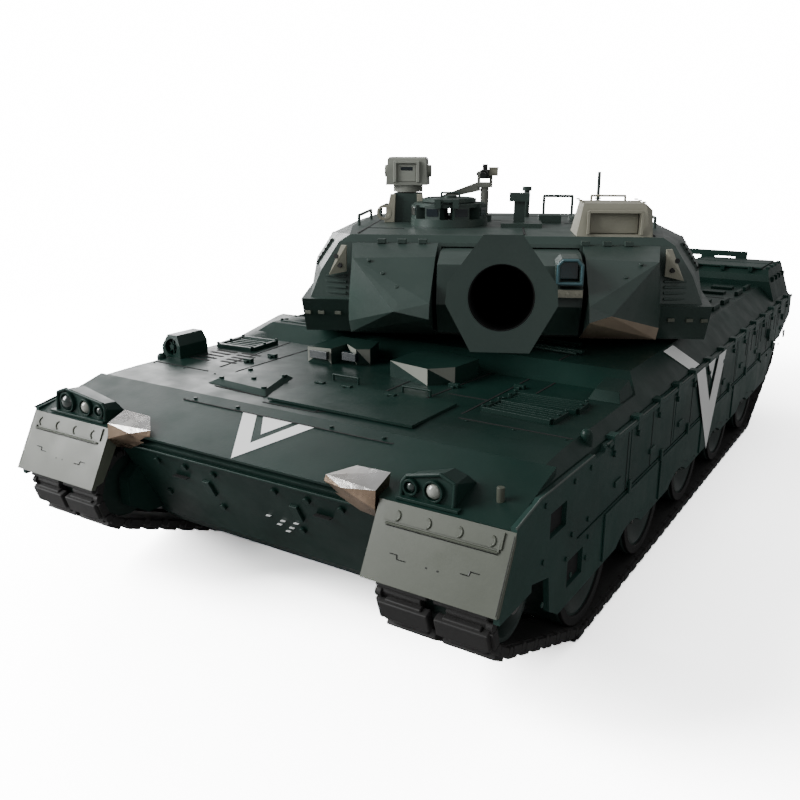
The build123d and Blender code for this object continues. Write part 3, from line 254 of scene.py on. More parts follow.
# ---------------------------------------------------------------- building pieces
class Shape:
    """Gathers simple solids in a drawing frame's millimetres and makes one bevelled piece of them."""

    def __init__(self, place=HULL, mirror=False):
        self.bm = bmesh.new()
        self.place = place
        self.mirror = mirror

    def hull(self, points):
        verts = [self.bm.verts.new(p) for p in points]
        made = bmesh.ops.convex_hull(self.bm, input=verts)
        spare = {v for v in made["geom_interior"] + made["geom_unused"] if isinstance(v, bmesh.types.BMVert)}
        bmesh.ops.delete(self.bm, geom=list(spare), context="VERTS")
        faces = [f for f in made["geom"] if isinstance(f, bmesh.types.BMFace) and f.is_valid]
        edges = list({e for f in faces for e in f.edges})
        bmesh.ops.dissolve_limit(self.bm, angle_limit=0.02, verts=[], edges=edges)
        return self

    def box(self, x0, x1, y0, y1, z0, z1, at=Matrix.Identity(4)):
        size = Matrix.Diagonal((abs(x1 - x0), abs(y1 - y0), abs(z1 - z0), 1))
        middle = Matrix.Translation(((x0 + x1) / 2, (y0 + y1) / 2, (z0 + z1) / 2))
        bmesh.ops.create_cube(self.bm, size=1, matrix=at @ middle @ size)
        return self

    def bar(self, start, end, width, height):
        """A straight box from start to end, level across."""
        start, end = Vector(start), Vector(end)
        along = end - start
        side = along.cross(Vector((0, 0, 1)))
        side = side.normalized() if side.length > 1e-6 else Vector((1, 0, 0))
        up = side.cross(along).normalized()
        turn = Matrix((side, along.normalized(), up)).transposed().to_4x4()
        size = Matrix.Diagonal((width, along.length, height, 1))
        bmesh.ops.create_cube(self.bm, size=1, matrix=Matrix.Translation((start + end) / 2) @ turn @ size)
        return self

    def prism(self, points, axis, low, high):
        """A flat outline drawn in the two other axes, pushed from low to high along axis."""
        def at(p, level):
            return {"x": (level, *p), "y": (p[0], level, p[1]), "z": (*p, level)}[axis]
        first = [self.bm.verts.new(at(p, low)) for p in points]
        last = [self.bm.verts.new(at(p, high)) for p in points]
        self.bm.faces.new(first)
        self.bm.faces.new(list(reversed(last)))
        for i in range(len(points)):
            j = (i + 1) % len(points)
            self.bm.faces.new((first[i], last[i], last[j], first[j]))
        return self

    def rod(self, start, end, radius, tip=None, sides=24):
        start, end = Vector(start), Vector(end)
        turn = (end - start).to_track_quat("Z", "Y").to_matrix().to_4x4()
        bmesh.ops.create_cone(self.bm, cap_ends=True, segments=sides, radius1=radius,
                              radius2=radius if tip is None else tip, depth=(end - start).length,
                              matrix=Matrix.Translation((start + end) / 2) @ turn)
        return self

    def wire(self, points, radius, sides=12):
        for a, b in zip(points, points[1:]):
            self.rod(a, b, radius, sides=sides)
        for p in points[1:-1]:
            self.ball(p, radius, 8)
        return self

    def ball(self, middle, radius, sides=16):
        bmesh.ops.create_uvsphere(self.bm, u_segments=sides, v_segments=sides // 2, radius=radius,
                                  matrix=Matrix.Translation(middle))
        return self

    def ring(self, middle, axis, outer, inner, length, sides=32):
        """A flat ring about axis, an upright direction vector."""
        turn = Vector(axis).to_track_quat("Z", "Y").to_matrix().to_4x4()
        place = Matrix.Translation(middle) @ turn
        loops = []
        for radius, level in ((outer, -length / 2), (outer, length / 2), (inner, length / 2),
                              (inner, -length / 2)):
            loops.append([self.bm.verts.new(place @ Vector((radius * math.cos(2 * math.pi * i / sides),
                                                            radius * math.sin(2 * math.pi * i / sides),
                                                            level)))
                          for i in range(sides)])
        for k in range(4):
            first, second = loops[k], loops[(k + 1) % 4]
            for i in range(sides):
                j = (i + 1) % sides
                self.bm.faces.new((first[i], first[j], second[j], second[i]))
        return self

    def piece(self, name, look, body, slot, bevel=0.2):
        """Both halves if mirrored, then into metres, with its material and body. The slot is not used."""
        if self.mirror:
            copy = bmesh.ops.duplicate(self.bm, geom=self.bm.verts[:] + self.bm.edges[:] + self.bm.faces[:])
            verts = [v for v in copy["geom"] if isinstance(v, bmesh.types.BMVert)]
            bmesh.ops.scale(self.bm, vec=(-1, 1, 1), verts=verts)
        bmesh.ops.recalc_face_normals(self.bm, faces=self.bm.faces[:])
        bmesh.ops.transform(self.bm, matrix=self.place, verts=self.bm.verts[:])
        mesh = bpy.data.meshes.new(name)
        self.bm.to_mesh(mesh)
        self.bm.free()
        made = bpy.data.objects.new(name, mesh)
        bpy.context.collection.objects.link(made)
        mesh.polygons.foreach_set("use_smooth", [True] * len(mesh.polygons))
        mesh.set_sharp_from_angle(angle=math.radians(38))
        mesh.materials.append(look)
        if bevel:
            edges = made.modifiers.new("edges", "BEVEL")
            edges.width = bevel * MM
            edges.segments = 2
            edges.limit_method = "ANGLE"
            edges.angle_limit = math.radians(38)
            edges.harden_normals = True
        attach(made, body)
        return made


# ---------------------------------------------------------------- belts
def belt_path(inset):
    """Points round the belt's side view, inset from its outer line, and their outward directions."""
    front, rear = RAMPS
    iy, iz, ir = IDLER
    sy, sz, sr = SPROCKET
    rise = math.asin((sz + sr - iz - ir) / (sy - iy))
    front_toe = iy + (iz - ir / math.cos(front)) / math.tan(front)
    rear_toe = sy - (sz - sr / math.cos(rear)) / math.tan(rear)
    points = [(front_toe + inset * math.tan(front / 2), inset),
              (rear_toe - inset * math.tan(rear / 2), inset)]
    for (y, z, radius), first, last in (((sy, sz, sr), -math.pi / 2 + rear, math.pi / 2 + rise),
                                        ((iy, iz, ir), math.pi / 2 + rise, 1.5 * math.pi - front)):
        for step in range(25):
            turn = first + (last - first) * step / 24
            points.append((y + (radius - inset) * math.cos(turn), z + (radius - inset) * math.sin(turn)))
    return points + points[:1]


def belt_places(inset, pitch):
    """Evenly spaced matrices along the belt: Y along the belt, Z outward, nearest to the wanted pitch."""
    path = [Vector((0, *p)) for p in belt_path(inset)]
    lengths = [(b - a).length for a, b in zip(path, path[1:])]
    count = round(sum(lengths) / pitch)
    pitch = sum(lengths) / count
    places, travelled, k = [], 0.0, 0
    for i in range(count):
        while travelled + lengths[k] < i * pitch:
            travelled += lengths[k]
            k += 1
        along = (path[k + 1] - path[k]).normalized()
        spot = path[k] + along * (i * pitch - travelled)
        out = Vector((1, 0, 0)).cross(along) * -1
        turn = Matrix((Vector((1, 0, 0)), along, out)).transposed()
        if turn.determinant() < 0:
            turn = Matrix((Vector((-1, 0, 0)), along, out)).transposed()
        places.append(Matrix.Translation(spot) @ turn.to_4x4())
    return places, pitch


def track_belt(side, word):
    """Linked belt: body plates, twin rubber blocks with a cross groove, and end connectors."""
    middle = side * (TRACK_IN + TRACK_OUT) / 2
    half = (TRACK_OUT - TRACK_IN) / 2
    places, pitch = belt_places(1.5, 6.4)
    plates, pads, joints = Shape(), Shape(), Shape()
    for place in places:
        at = Matrix.Translation((middle, 0, 0)) @ place
        for x0, x1 in ((-half + 0.4, -GROOVE_HALF), (GROOVE_HALF, half - 0.4)):
            plates.box(x0, x1, -pitch * 0.50, pitch * 0.50, -1.2, -0.2, at)
        for x0 in (-half, 0.7):
            pads.box(x0, x0 + half - 0.7, -pitch * 0.33, pitch * 0.33, -0.7, 1.5, at)
            pads.box(x0 + 1.6, x0 + half - 2.3, -pitch * 0.40, -pitch * 0.30, -0.7, 0.9, at)
            joints.box(x0 + 1.6, x0 + half - 2.3, -0.35, 0.35, 1.2, 1.48, at)
        for x0 in (-half - 0.7, half - 0.7):
            start = at @ Vector((x0, pitch * 0.5, -0.7))
            end = at @ Vector((x0 + 1.4, pitch * 0.5, -0.7))
            joints.rod(start, end, 1.0, sides=12)
            joints.box(x0, x0 + 1.4, -pitch * 0.30, pitch * 0.30, -1.3, 0.6, at)
    base = plates.piece(f"belt_plates_{word}", BELT, "hull", "track_rubber", 0.15)
    pads.piece(f"belt_pads_{word}", BELT, "hull", "track_rubber", 0.45)
    joints.piece(f"belt_connectors_{word}", BELT, "hull", "track_rubber", 0.2)
    inner = Shape()
    skin = [belt_path(2.2), belt_path(3.0)]
    for left, right in ((-half + 0.2, -GROOVE_HALF), (GROOVE_HALF, half - 0.2)):
        rings = [[inner.bm.verts.new((middle + x, y, z)) for y, z in path[:-1]]
                 for x in (left, right) for path in skin]
        for first, second in ((0, 1), (1, 3), (3, 2), (2, 0)):
            for i in range(len(rings[0])):
                j = (i + 1) % len(rings[0])
                inner.bm.faces.new((rings[first][i], rings[first][j], rings[second][j], rings[second][i]))
    inner.piece(f"belt_band_{word}", BELT, "hull", "track_rubber", 0)
    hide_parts(f"track_{word}")


def wheel_details(side, word):
    """Tyres, hub caps and bolts of the road wheels, idler and sprocket."""
    for body, y, z, radius, bolts in ([(f"road_wheel_{word}_{i + 1}", y, WHEEL_Z, 14.9, 8)
                                       for i, y in enumerate(WHEELS)]
                                      + [(f"idler_wheel_{word}", IDLER[0], IDLER[1], 8.0, 6),
                                         (f"drive_sprocket_{word}", SPROCKET[0], SPROCKET[1], 9.7, 8)]):
        face = side * 64.0
        cap, nuts, tyre = Shape(), Shape(), Shape()
        cap.ring((face - side * 1.3, y, z), (side, 0, 0), radius * 0.36, 2.55, 2.4)
        for i in range(bolts):
            turn = 2 * math.pi * i / bolts
            spot = (y + radius * 0.47 * math.cos(turn), z + radius * 0.47 * math.sin(turn))
            nuts.rod((face - side * 3.6, *spot), (face - side * 1.9, *spot), radius * 0.05, sides=6)
        cap.piece(f"hub_{body}", WHEEL_GREEN, body, "wheel_plastic", 0.3)
        nuts.piece(f"hub_bolts_{body}", STEEL, body, "steel", 0.08)
        if body.startswith("road"):
            tyre.ring((face - side * 0.1, y, z), (side, 0, 0), radius - 0.15, radius - 2.3, 0.9, 64)
            tyre.piece(f"tyre_{body}", TYRE, body, "track_rubber", 0.2)


for side, word in SIDES:
    track_belt(side, word)
    wheel_details(side, word)


# ---------------------------------------------------------------- hull fittings
def groove(shape, points, width=0.45, lift=0.05, height=None):
    """A fine dark joint line on the deck, drawn as a flush strip through the points."""
    level = height or glacis_z
    for (x0, y0), (x1, y1) in zip(points, points[1:]):
        shape.bar((x0, y0, level(y0) + lift), (x1, y1, level(y1) + lift), width, 0.10)


def bolts(shape, spots, radius, lift, axis=(0, 0, 1), sides=10):
    for p in spots:
        shape.rod(p, Vector(p) + Vector(axis) * lift, radius, sides=sides)


def deck_lines():
    lines = Shape()
    groove(lines, [(-30.8, 16.4), (30.8, 16.4), (35.2, 40.8), (35.2, 75.5)])
    groove(lines, [(-30.8, 16.4), (-35.2, 40.8), (-35.2, 75.5)])
    groove(lines, [(-12.6, 25.6), (-30.0, 26.4)])
    groove(lines, [(-10.2, 22.4), (5.5, 22.6), (3.0, 36.0)])
    groove(lines, [(5.5, 22.6), (21.0, 37.2), (24.0, 75.5)])
    groove(lines, [(10.0, 40.0), (10.0, 75.0)])
    groove(lines, [(24.2, 52.0), (35.0, 52.0)])
    groove(lines, [(-42.5, 41.1), (-46.1, 75.5)])
    groove(lines, [(42.5, 62.0), (42.5, 75.5)])
    groove(lines, [(-63.0, 36.0), (-42.0, 36.0)])
    groove(lines, [(63.0, 36.0), (36.0, 36.0)])

    def raised(_):
        return RAISED_Z
    for side in (1, -1):
        groove(lines, [(side * 40, 84), (side * 40, 100)], height=raised)
        groove(lines, [(side * 36, 172), (side * 36, 247)], height=raised)
        groove(lines, [(side * 58, 172), (side * 36, 172)], height=raised)
        groove(lines, [(side * 58, 210), (side * 36, 210)], height=raised)
    groove(lines, [(-36, 200), (36, 200)], height=raised)
    lines.piece("deck_joint_lines", SHADOW, "hull", "hull_plastic", 0)


def louvre_hatch(name, left, front, right, rear, slats, level, turn=0.0):
    """A framed grille hatch with angled slats over a dark sheet of painted shade."""
    rim, blades = Shape(), Shape()
    spin = Matrix.Rotation(turn, 3, "Z")
    centre = Vector(((left + right) / 2, (front + rear) / 2, 0))

    def at(x, y, z):
        return centre + spin @ (Vector((x, y, 0)) - centre) + Vector((0, 0, z))
    for a, b in (((left, front), (right, front)), ((left, rear), (right, rear)),
                 ((left, front), (left, rear)), ((right, front), (right, rear))):
        rim.bar(at(*a, level + 0.5), at(*b, level + 0.5), 1.4, 1.2)
    for i in range(slats):
        y = front + (rear - front) * (i + 0.5) / slats
        blades.bar(at(left, y, level + 0.45), at(right, y, level + 0.45), 0.75, 0.7)
    for x in (left, right):
        for y in (front, (front + rear) / 2, rear):
            rim.rod(at(x, y, level + 1.0), at(x, y, level + 1.5), 0.5, sides=8)
    # A dark sheet under the slats: painted shade in the grille's hollow.
    grille_shade = Shape().prism([tuple(at(x, y, 0))[:2] for x, y in
                          ((left, front), (right, front), (right, rear), (left, rear))], "z", level,
                         level + 0.15)
    rim.piece(name + "_rim", HULL_GREEN, "hull", "hull_plastic", 0.15)
    blades.piece(name + "_slats", HULL_GREEN, "hull", "hull_plastic", 0.1)
    grille_shade.piece(name + "_back", SHADOW, "hull", "hull_plastic", 0)


def deck_fittings():
    louvre_hatch("front_grille", 38.2, 43.5, 55.5, 51.0, 5, DECK_Z, math.radians(-3))
    louvre_hatch("rear_grille", 39.0, 52.8, 57.0, 60.0, 5, DECK_Z, math.radians(3))
    louvre_hatch("right_grille", -61.5, 60.0, -48.5, 72.0, 6, DECK_Z, math.radians(4))
    louvre_hatch("right_rear_grille", -58.0, 86.0, -46.0, 100.0, 7, RAISED_Z - 0.7)
    parts, tools, slit_shade = Shape(), Shape(), Shape()
    for x, y in ((-7.5, 41.2), (0.5, 41.9), (14.0, 41.5), (22.5, 58.0), (-38.0, 58.0), (37.0, 66.0),
                 (-40.0, 50.0)):
        parts.box(x - 1.4, x + 1.4, y - 0.7, y + 0.7, DECK_Z, DECK_Z + 1.0)
        parts.box(x - 0.5, x + 0.5, y - 1.5, y + 0.5, DECK_Z, DECK_Z + 0.6)
    for x0, x1 in ((-7.5, 0.5), (14.0, 22.0)):
        parts.wire([(x0, 47, DECK_Z), (x0, 47, DECK_Z + 1.6), (x1, 47, DECK_Z + 1.6), (x1, 47, DECK_Z)], 0.3)
    for (xa, ya), (xb, yb) in (((19.0, 105.0), (39.0, 102.0)), ((22.0, 96.0), (43.0, 93.5))):
        tools.bar((xa, ya, RAISED_Z + 0.8), (xb, yb, RAISED_Z + 0.8), 1.7, 0.9)
        tools.bar((xa + 1, ya - 2.2, RAISED_Z + 0.6), (xb - 1, yb - 2.2, RAISED_Z + 0.6), 0.7, 0.6)
    parts.hull([(55, 66, 50), (63, 66, 50), (55, 76, 50), (63, 76, 50), (56, 68, 52.4), (62, 68, 52.4),
                (56, 75, 53.8), (62, 75, 53.8)])
    parts.hull([(-62, 74, 50.2), (-47, 80, 50.2), (-66, 74.2, 50), (-47, 96, 54), (-66, 96, 54),
                (-50, 90, 54.7), (-63, 90, 54.7)])
    # Dark strips in the vents: painted shade in the slits.
    for i in range(5):
        slit_shade.box(-47.2 - 0.4 * i, -41.6, 46.0 + 2.6 * i, 47.0 + 2.6 * i, DECK_Z, DECK_Z + 0.08)
        slit_shade.box(-58.0, -50.5, 44.4 + 2.8 * i, 45.5 + 2.8 * i, DECK_Z, DECK_Z + 0.08)
    for side in (1, -1):
        parts.rod((side * 64.6, 40, 47.0), (side * 64.6, 40, 50.2), 1.3)
        parts.ball((side * 64.6, 40, 50.2), 1.3)
        bolts(parts, [(side * x, 35.0, glacis_z(35.0)) for x in (38.5, 50, 62)], 0.35, 0.2)
    bolts(parts, [(x, 17.6, glacis_z(17.6)) for x in (-28, -14, 14, 28)], 0.5, 0.35)
    post = Shape().rod((60.8, 7.0, 45.8), (60.8, 7.0, 48.8), 0.75)
    post.piece("fender_post", FLAP_GREY, "hull", "flap_plastic", 0.12)
    parts.piece("deck_fittings", HULL_GREEN, "hull", "hull_plastic", 0.18)
    tools.piece("deck_tools", HULL_GREEN, "hull", "hull_plastic", 0.15)
    slit_shade.piece("deck_slit_shade", SHADOW, "hull", "hull_plastic", 0)


def driver_periscopes():
    """Glass faces in the hoods and hinge bolts round the driver's hatch."""
    windows, parts = Shape(), Shape()
    for x0, x1 in ((-25.2, -19.2), (-15.6, -11.0)):
        windows.box(x0, x1, 61.6 if x0 > -20 else 59.2, 63.4 if x0 > -20 else 60.4, 51.4, 53.6)
    bolts(parts, [(-31.0, 30.0, DECK_Z + 0.8), (-15.2, 28.5, DECK_Z + 0.8), (-18.5, 40.2, DECK_Z + 0.8),
                  (-30.5, 40.4, DECK_Z + 0.8), (-23.5, 34.0, DECK_Z + 0.8)], 0.7, 0.7)
    windows.piece("driver_windows", DARK_GLASS, "hull", "hull_plastic", 0.05)
    parts.piece("driver_fittings", HULL_GREEN, "hull", "hull_plastic", 0.1)


def rear_deck():
    """Locker lids, latches, rack bars and tow cable at the rear."""
    parts, steel = Shape(mirror=True), Shape()
    parts.box(30, 59, 251, 264.5, 60.6, 61.3).box(30, 59, 266, 279.5, 60.6, 61.3)
    for y in (254, 262, 269, 277):
        parts.box(60.3, 61.9, y - 1.2, y + 1.2, 60.4, 61.5)
        parts.box(62.2, 64.0, y - 1.0, y + 1.0, 55.5, 57.5)
    for x in (33, 44, 55):
        parts.box(x - 0.8, x + 0.8, 249.2, 251, 59.5, 61.6)
    for y in (180, 195, 218, 232):
        parts.box(44, 52, y, y + 5, RAISED_Z, RAISED_Z + 1.0)
        parts.box(56.0, 57.4, y, y + 9, RAISED_Z, RAISED_Z + 1.6)
    bolts(parts, [(32.0, 207 + 7 * i, RAISED_Z + 1.2) for i in range(6)], 0.5, 0.4)
    parts.piece("rear_deck_fittings", HULL_GREEN, "hull", "hull_plastic", 0.18)
    for side in (1, -1):
        steel.wire([(side * 37, 176, 55), (side * 38, 196, 55), (side * 38, 226, 55),
                    (side * 34, 244, 55)], 0.55)
        steel.ring((side * 37, 174.6, 55), (0, 0, 1), 1.7, 0.9, 1.0)
    steel.piece("tow_cables", DETAIL_GREY, "hull", "detail_plastic", 0)
    fan = Shape()
    for i in range(2):
        fan.ring((-14 + 28 * i, 188, RAISED_Z + 0.5), (0, 0, 1), 10.5, 9.2, 1.2, 48)
        for k in range(5):
            fan.bar((-24 + 28 * i, 180 + 4 * k, RAISED_Z + 0.4),
                    (-4 + 28 * i, 180 + 4 * k, RAISED_Z + 0.4), 0.6, 0.7)
    fan.piece("fan_grilles", HULL_GREEN, "hull", "hull_plastic", 0.12)


def skirt_details(side, word):
    """Top strip with clips, bolts, handles, rail clamps and rubber edge pieces of one skirt."""
    x = side * SKIRT_X
    parts, seams, rubber = Shape(), Shape(), Shape()
    for i in range(14):
        y = 50.0 + 17.0 * i
        parts.box(x - side * 1.6, x + side * 0.55, y - 1.5, y + 1.5, 44.6, 48.0)
        parts.rod((x, y, 43.4), (x + side * 0.7, y, 43.4), 0.75, sides=12)
    for i in range(9):
        y = 54.0 + 26.0 * i
        parts.box(x, x + side * 0.5, y - 2.2, y + 2.2, 34.6, 36.0)
        parts.box(x, x + side * 0.6, y + 8.0, y + 9.6, 29.6, 32.8)
    bolts(parts, [(x, 12 + 12.4 * i, 28.6) for i in range(1, 21)], 0.55, 0.4, (side, 0, 0))
    bolts(parts, [(x, y, z) for y in (12.5, 27.0, 36.0) for z in (44.6, 33.0, 24.0)], 0.6, 0.4, (side, 0, 0))
    parts.rod((x, 232, 38), (x + side * 1.1, 232, 38), 2.0)
    parts.rod((x, 262, 40), (x + side * 0.8, 262, 40), 1.3)
    parts.bar((x + side * 0.15, 46, 46.4), (x + side * 0.15, 281, 46.4), 0.6, 0.9)
    for i in range(12):
        y = 60.0 + 19.0 * i
        seams.box(x - side * 0.1, x + side * 0.06, y, y + 0.45, 31.3, 46.0)
    for i in range(8):
        y = 190.0 + 9.0 * i
        seams.box(x - side * 0.1, x + side * 0.06, y, y + 1.0, 37.5, 43.5)
    for y0, y1 in ((15.0, 23.6), (25.3, 34.3)):
        z0, z1 = (36.4, 42.1) if y0 < 20 else (21.3, 27.7)
        seams.box(x - side * 1.1, x - side * 1.0, y0, y1, z0, z1)
    for i in range(4):
        y = 45.0 + 42.6 * i
        points = [(y + 1.5, 30.0), (y + 41.0, 30.0), (y + 41.0, 18.4)]
        for k in range(13):
            t = k / 12
            points.append((y + 41.0 - 39.5 * t,
                           18.4 + 3.4 * math.sin(math.pi * t) + 0.5 * math.sin(6 * math.pi * t)))
        rubber.prism(points, "x", x + side * 0.02, x + side * 0.45)
    parts.piece(f"skirt_fittings_{word}", SKIRT_GREEN, "hull", "hull_plastic", 0.15)
    seams.piece(f"skirt_seams_{word}", SHADOW, "hull", "hull_plastic", 0)
    rubber.piece(f"skirt_edge_{word}", SKIRT_GREEN, "hull", "hull_plastic", 0.12)
    # A lighter line along the skirt's top edge and front: painted highlight.
    edge = Shape()
    edge.wire([(x, -0.2, 44.9), (x, 8.3, 46.5), (x, 10, 46.9), (x, 37.4, 46.9)], 0.22)
    edge.wire([(x, 45, 46.95), (x, 281.6, 46.95)], 0.22)
    edge.piece(f"skirt_rim_highlight_{word}", EDGE_HIGHLIGHT, "hull", "hull_plastic", 0)


def mud_flap_details(side, word):
    """Hinge strip with four half-round hooks, and the small hinge marks lower down."""
    parts, marks = Shape(), Shape()
    slope = Vector((0, -7.1, 30.6 - 44.1)).normalized()
    out = Vector((0, slope.z, -slope.y))

    def at(x, down, lift=0.0):
        return Vector((side * x, -0.05, 44.1)) + slope * down + out * lift
    parts.bar(at(41.5, 4.1, 0.15), at(65.0, 4.1, 0.15), 0.5, 0.35)
    marks.bar(at(41.5, 4.5, 0.03), at(65.0, 4.5, 0.03), 0.25, 0.08)
    parts.bar(at(65.0, 1.8, 0.15), at(65.0, 4.2, 0.15), 0.4, 0.35)
    for x in (43.6, 50.2, 56.8, 63.4):
        hook = [at(x + 0.75 * math.sin(t), 2.4 - 0.9 * math.cos(t), 0.35) for t in (0, 0.5, 1.05, 1.6,
                                                            2.1, 2.6, 3.1)]
        parts.wire(hook, 0.24, sides=8)
    marks.bar(at(67.3, 0.6, 0.02), at(67.3, 14.8, 0.02), 0.12, 0.05)
    for x, turn in ((45.5, 1), (60.5, -1)):
        marks.bar(at(x - 1.6, 9.4, 0.03), at(x, 9.4, 0.03), 0.22, 0.08)
        marks.bar(at(x, 9.4, 0.03), at(x + 0.2, 9.4 + 0.8 * turn, 0.03), 0.22, 0.08)
        marks.bar(at(x + 0.2, 9.4 + 0.8 * turn, 0.03), at(x + 2.0, 9.4 + 0.8 * turn, 0.03), 0.22, 0.08)
    for x in (52.0, 54.4):
        marks.rod(at(x, 10.2, 0.0), at(x, 10.2, 0.06), 0.18, sides=8)
    parts.piece(f"flap_strip_{word}", FLAP_GREY, "hull", "flap_plastic", 0.12)
    marks.piece(f"flap_marks_{word}", BLACK, "hull", "flap_plastic", 0)


def front_plate_details():
    """Small bumps, two dark strips of painted shade for recesses, light squares and brackets on the lower
    front plate.
    """
    down = Vector((0, 12.8, -24)).normalized()
    out = Vector((0, -24, -12.8)).normalized()
    parts, dark, light = Shape(), Shape(), Shape()

    def at(x, along, lift=0.0):
        return Vector((x, 1.2, 42.0)) + down * along + out * lift
    for x in (-27, -18, -9, 9, 18, 27):
        parts.rod(at(x, 5.0), at(x, 5.0, 0.7), 0.9, sides=12)
    for x in (-30, -12, 12, 30):
        parts.rod(at(x, 17.0), at(x, 17.0, 0.7), 0.9, sides=12)
    # Flat dark strips: painted shade where the recesses are.
    for x in (-21, 21):
        dark.bar(at(x - 2.2, 9.0, 0.05), at(x + 2.2, 9.0, 0.05), 2.6, 0.15)
    for x, along in ((7.0, 15.5), (5.2, 17.3), (8.8, 17.3), (7.0, 19.1), (3.0, 15.0), (11.0, 15.0)):
        light.bar(at(x - 0.6, along, 0.04), at(x + 0.6, along, 0.04), 1.1, 0.1)
    for side in (1, -1):
        parts.bar(at(side * 13, 8.2, 0.3), at(side * 13, 13.0, 0.3), 2.2, 0.8)
    parts.bar(at(-36, 1.6, 0.2), at(36, 1.6, 0.2), 1.2, 0.5)
    parts.piece("front_plate_fittings", HULL_GREEN, "hull", "hull_plastic", 0.15)
    dark.piece("front_plate_recess_shade", SHADOW, "hull", "hull_plastic", 0)
    light.piece("front_plate_squares", MARKING, "hull", "hull_plastic", 0)


LAMPS = ((44.6, 47.0, 1.2), (49.6, 47.2, 1.7), (56.4, 47.5, 2.1))       # across, height, radius


def lamp_guards(side, word):
    """Rims round the headlamps, the hood's bent rim and a foot plate."""
    parts, rims = Shape(), Shape()
    lamps, outer = (LAMPS[:2], 54.0) if side > 0 else (LAMPS, 60.5)
    for x, z, radius in lamps:
        rims.ring((side * x, 1.9, z), (0, 1, 0), radius + 0.45, radius + 0.02, 1.3, 28)
    hood = [(42.6, 1.9, 44.9), (42.6, 2.2, 47.6), (43.6, 2.4, 48.9), (outer - 3.2, 2.5, 50.6),
            (outer, 2.3, 49.4), (outer, 1.8, 44.9)]
    parts.wire([(side * x, y - 0.2, z) for x, y, z in hood], 0.42)
    parts.bar((side * (42.0), 1.2, 44.8), (side * (outer + 1.5), 1.2, 44.8), 1.6, 0.6)
    rims.piece(f"lamp_rims_{word}", HULL_GREEN, "hull", "hull_plastic", 0.1)
    parts.piece(f"lamp_guard_{word}", HULL_GREEN, "hull", "hull_plastic", 0.12)


def markings():
    """White painted arrowheads on the front slope and on both skirts."""
    front = Shape()
    lift = 0.07
    arrow = [(0, 0.2), (-11.0, 16.3), (-6.8, 16.3), (0.0, 6.4), (5.9, 16.3), (10.3, 16.3)]
    inner = [(-4.7, 16.2), (0.0, 9.9), (3.9, 16.2)]
    for outline in (arrow, inner):
        lower = [front.bm.verts.new((x, y, glacis_z(y) + lift)) for x, y in outline]
        front.bm.faces.new(lower)
    front.piece("front_marking", MARKING, "hull", "hull_plastic", 0)
    sides = Shape()
    for side, _ in SIDES:
        x = side * (SKIRT_X + 0.62)
        for outline in ([(139.6, 17.7), (118.0, 46.7), (127.2, 46.8), (137.5, 33.7), (144.9, 46.8),
                         (154.2, 46.8)],
                        [(131.5, 46.7), (140.1, 46.8), (137.0, 41.1)]):
            sides.prism(outline, "x", x - side * 0.06, x)
        slope = [(66.35, 118, 47.35), (66.35, 127.2, 47.35), (60.0, 120.0, 53.7), (60.0, 110.5, 53.7)]
        sides.bm.faces.new([sides.bm.verts.new((side * (a + 0.05), y, z + 0.05)) for a, y, z in slope])
    sides.piece("side_markings", MARKING, "hull", "hull_plastic", 0)


deck_lines()
deck_fittings()
driver_periscopes()
rear_deck()
front_plate_details()
markings()
for side, word in SIDES:
    skirt_details(side, word)
    mud_flap_details(side, word)
    lamp_guards(side, word)


# ---------------------------------------------------------------- turret fittings
def turret_lines():
    """Joint lines on the turret's roof."""
    lines = Shape(TURRET)
    for points in ([(-43, -30), (-43, 40), (-10, 44), (43, 40), (43, -30)], [(-43, -12), (-31, -14)],
                   [(6, -30), (6, 40)], [(20, 10), (43, 10)], [(-43, 22), (6, 22)]):
        for (x0, y0), (x1, y1) in zip(points, points[1:]):
            lines.bar((x0, y0, ROOF_Z + 0.04), (x1, y1, ROOF_Z + 0.04), 0.45, 0.1)
    lines.piece("turret_joint_lines", SHADOW, "turret", "turret_plastic", 0)


def shell_faces():
    """The turret shell's surface in the turret's drawing frame, for finding where its sides are."""
    shell = frame["nodes"]["turret_shell"]
    into = TURRET.inverted() @ shell.matrix_world
    return BVHTree.FromPolygons([into @ v.co for v in shell.data.vertices],
                                [tuple(face.vertices) for face in shell.data.polygons])


SHELL = shell_faces()


def on_shell(side, y, z):
    """The outermost point of the turret shell's side at this place and height."""
    return SHELL.ray_cast(Vector((side * 100.0, y, z)), Vector((-side, 0, 0)))[0]


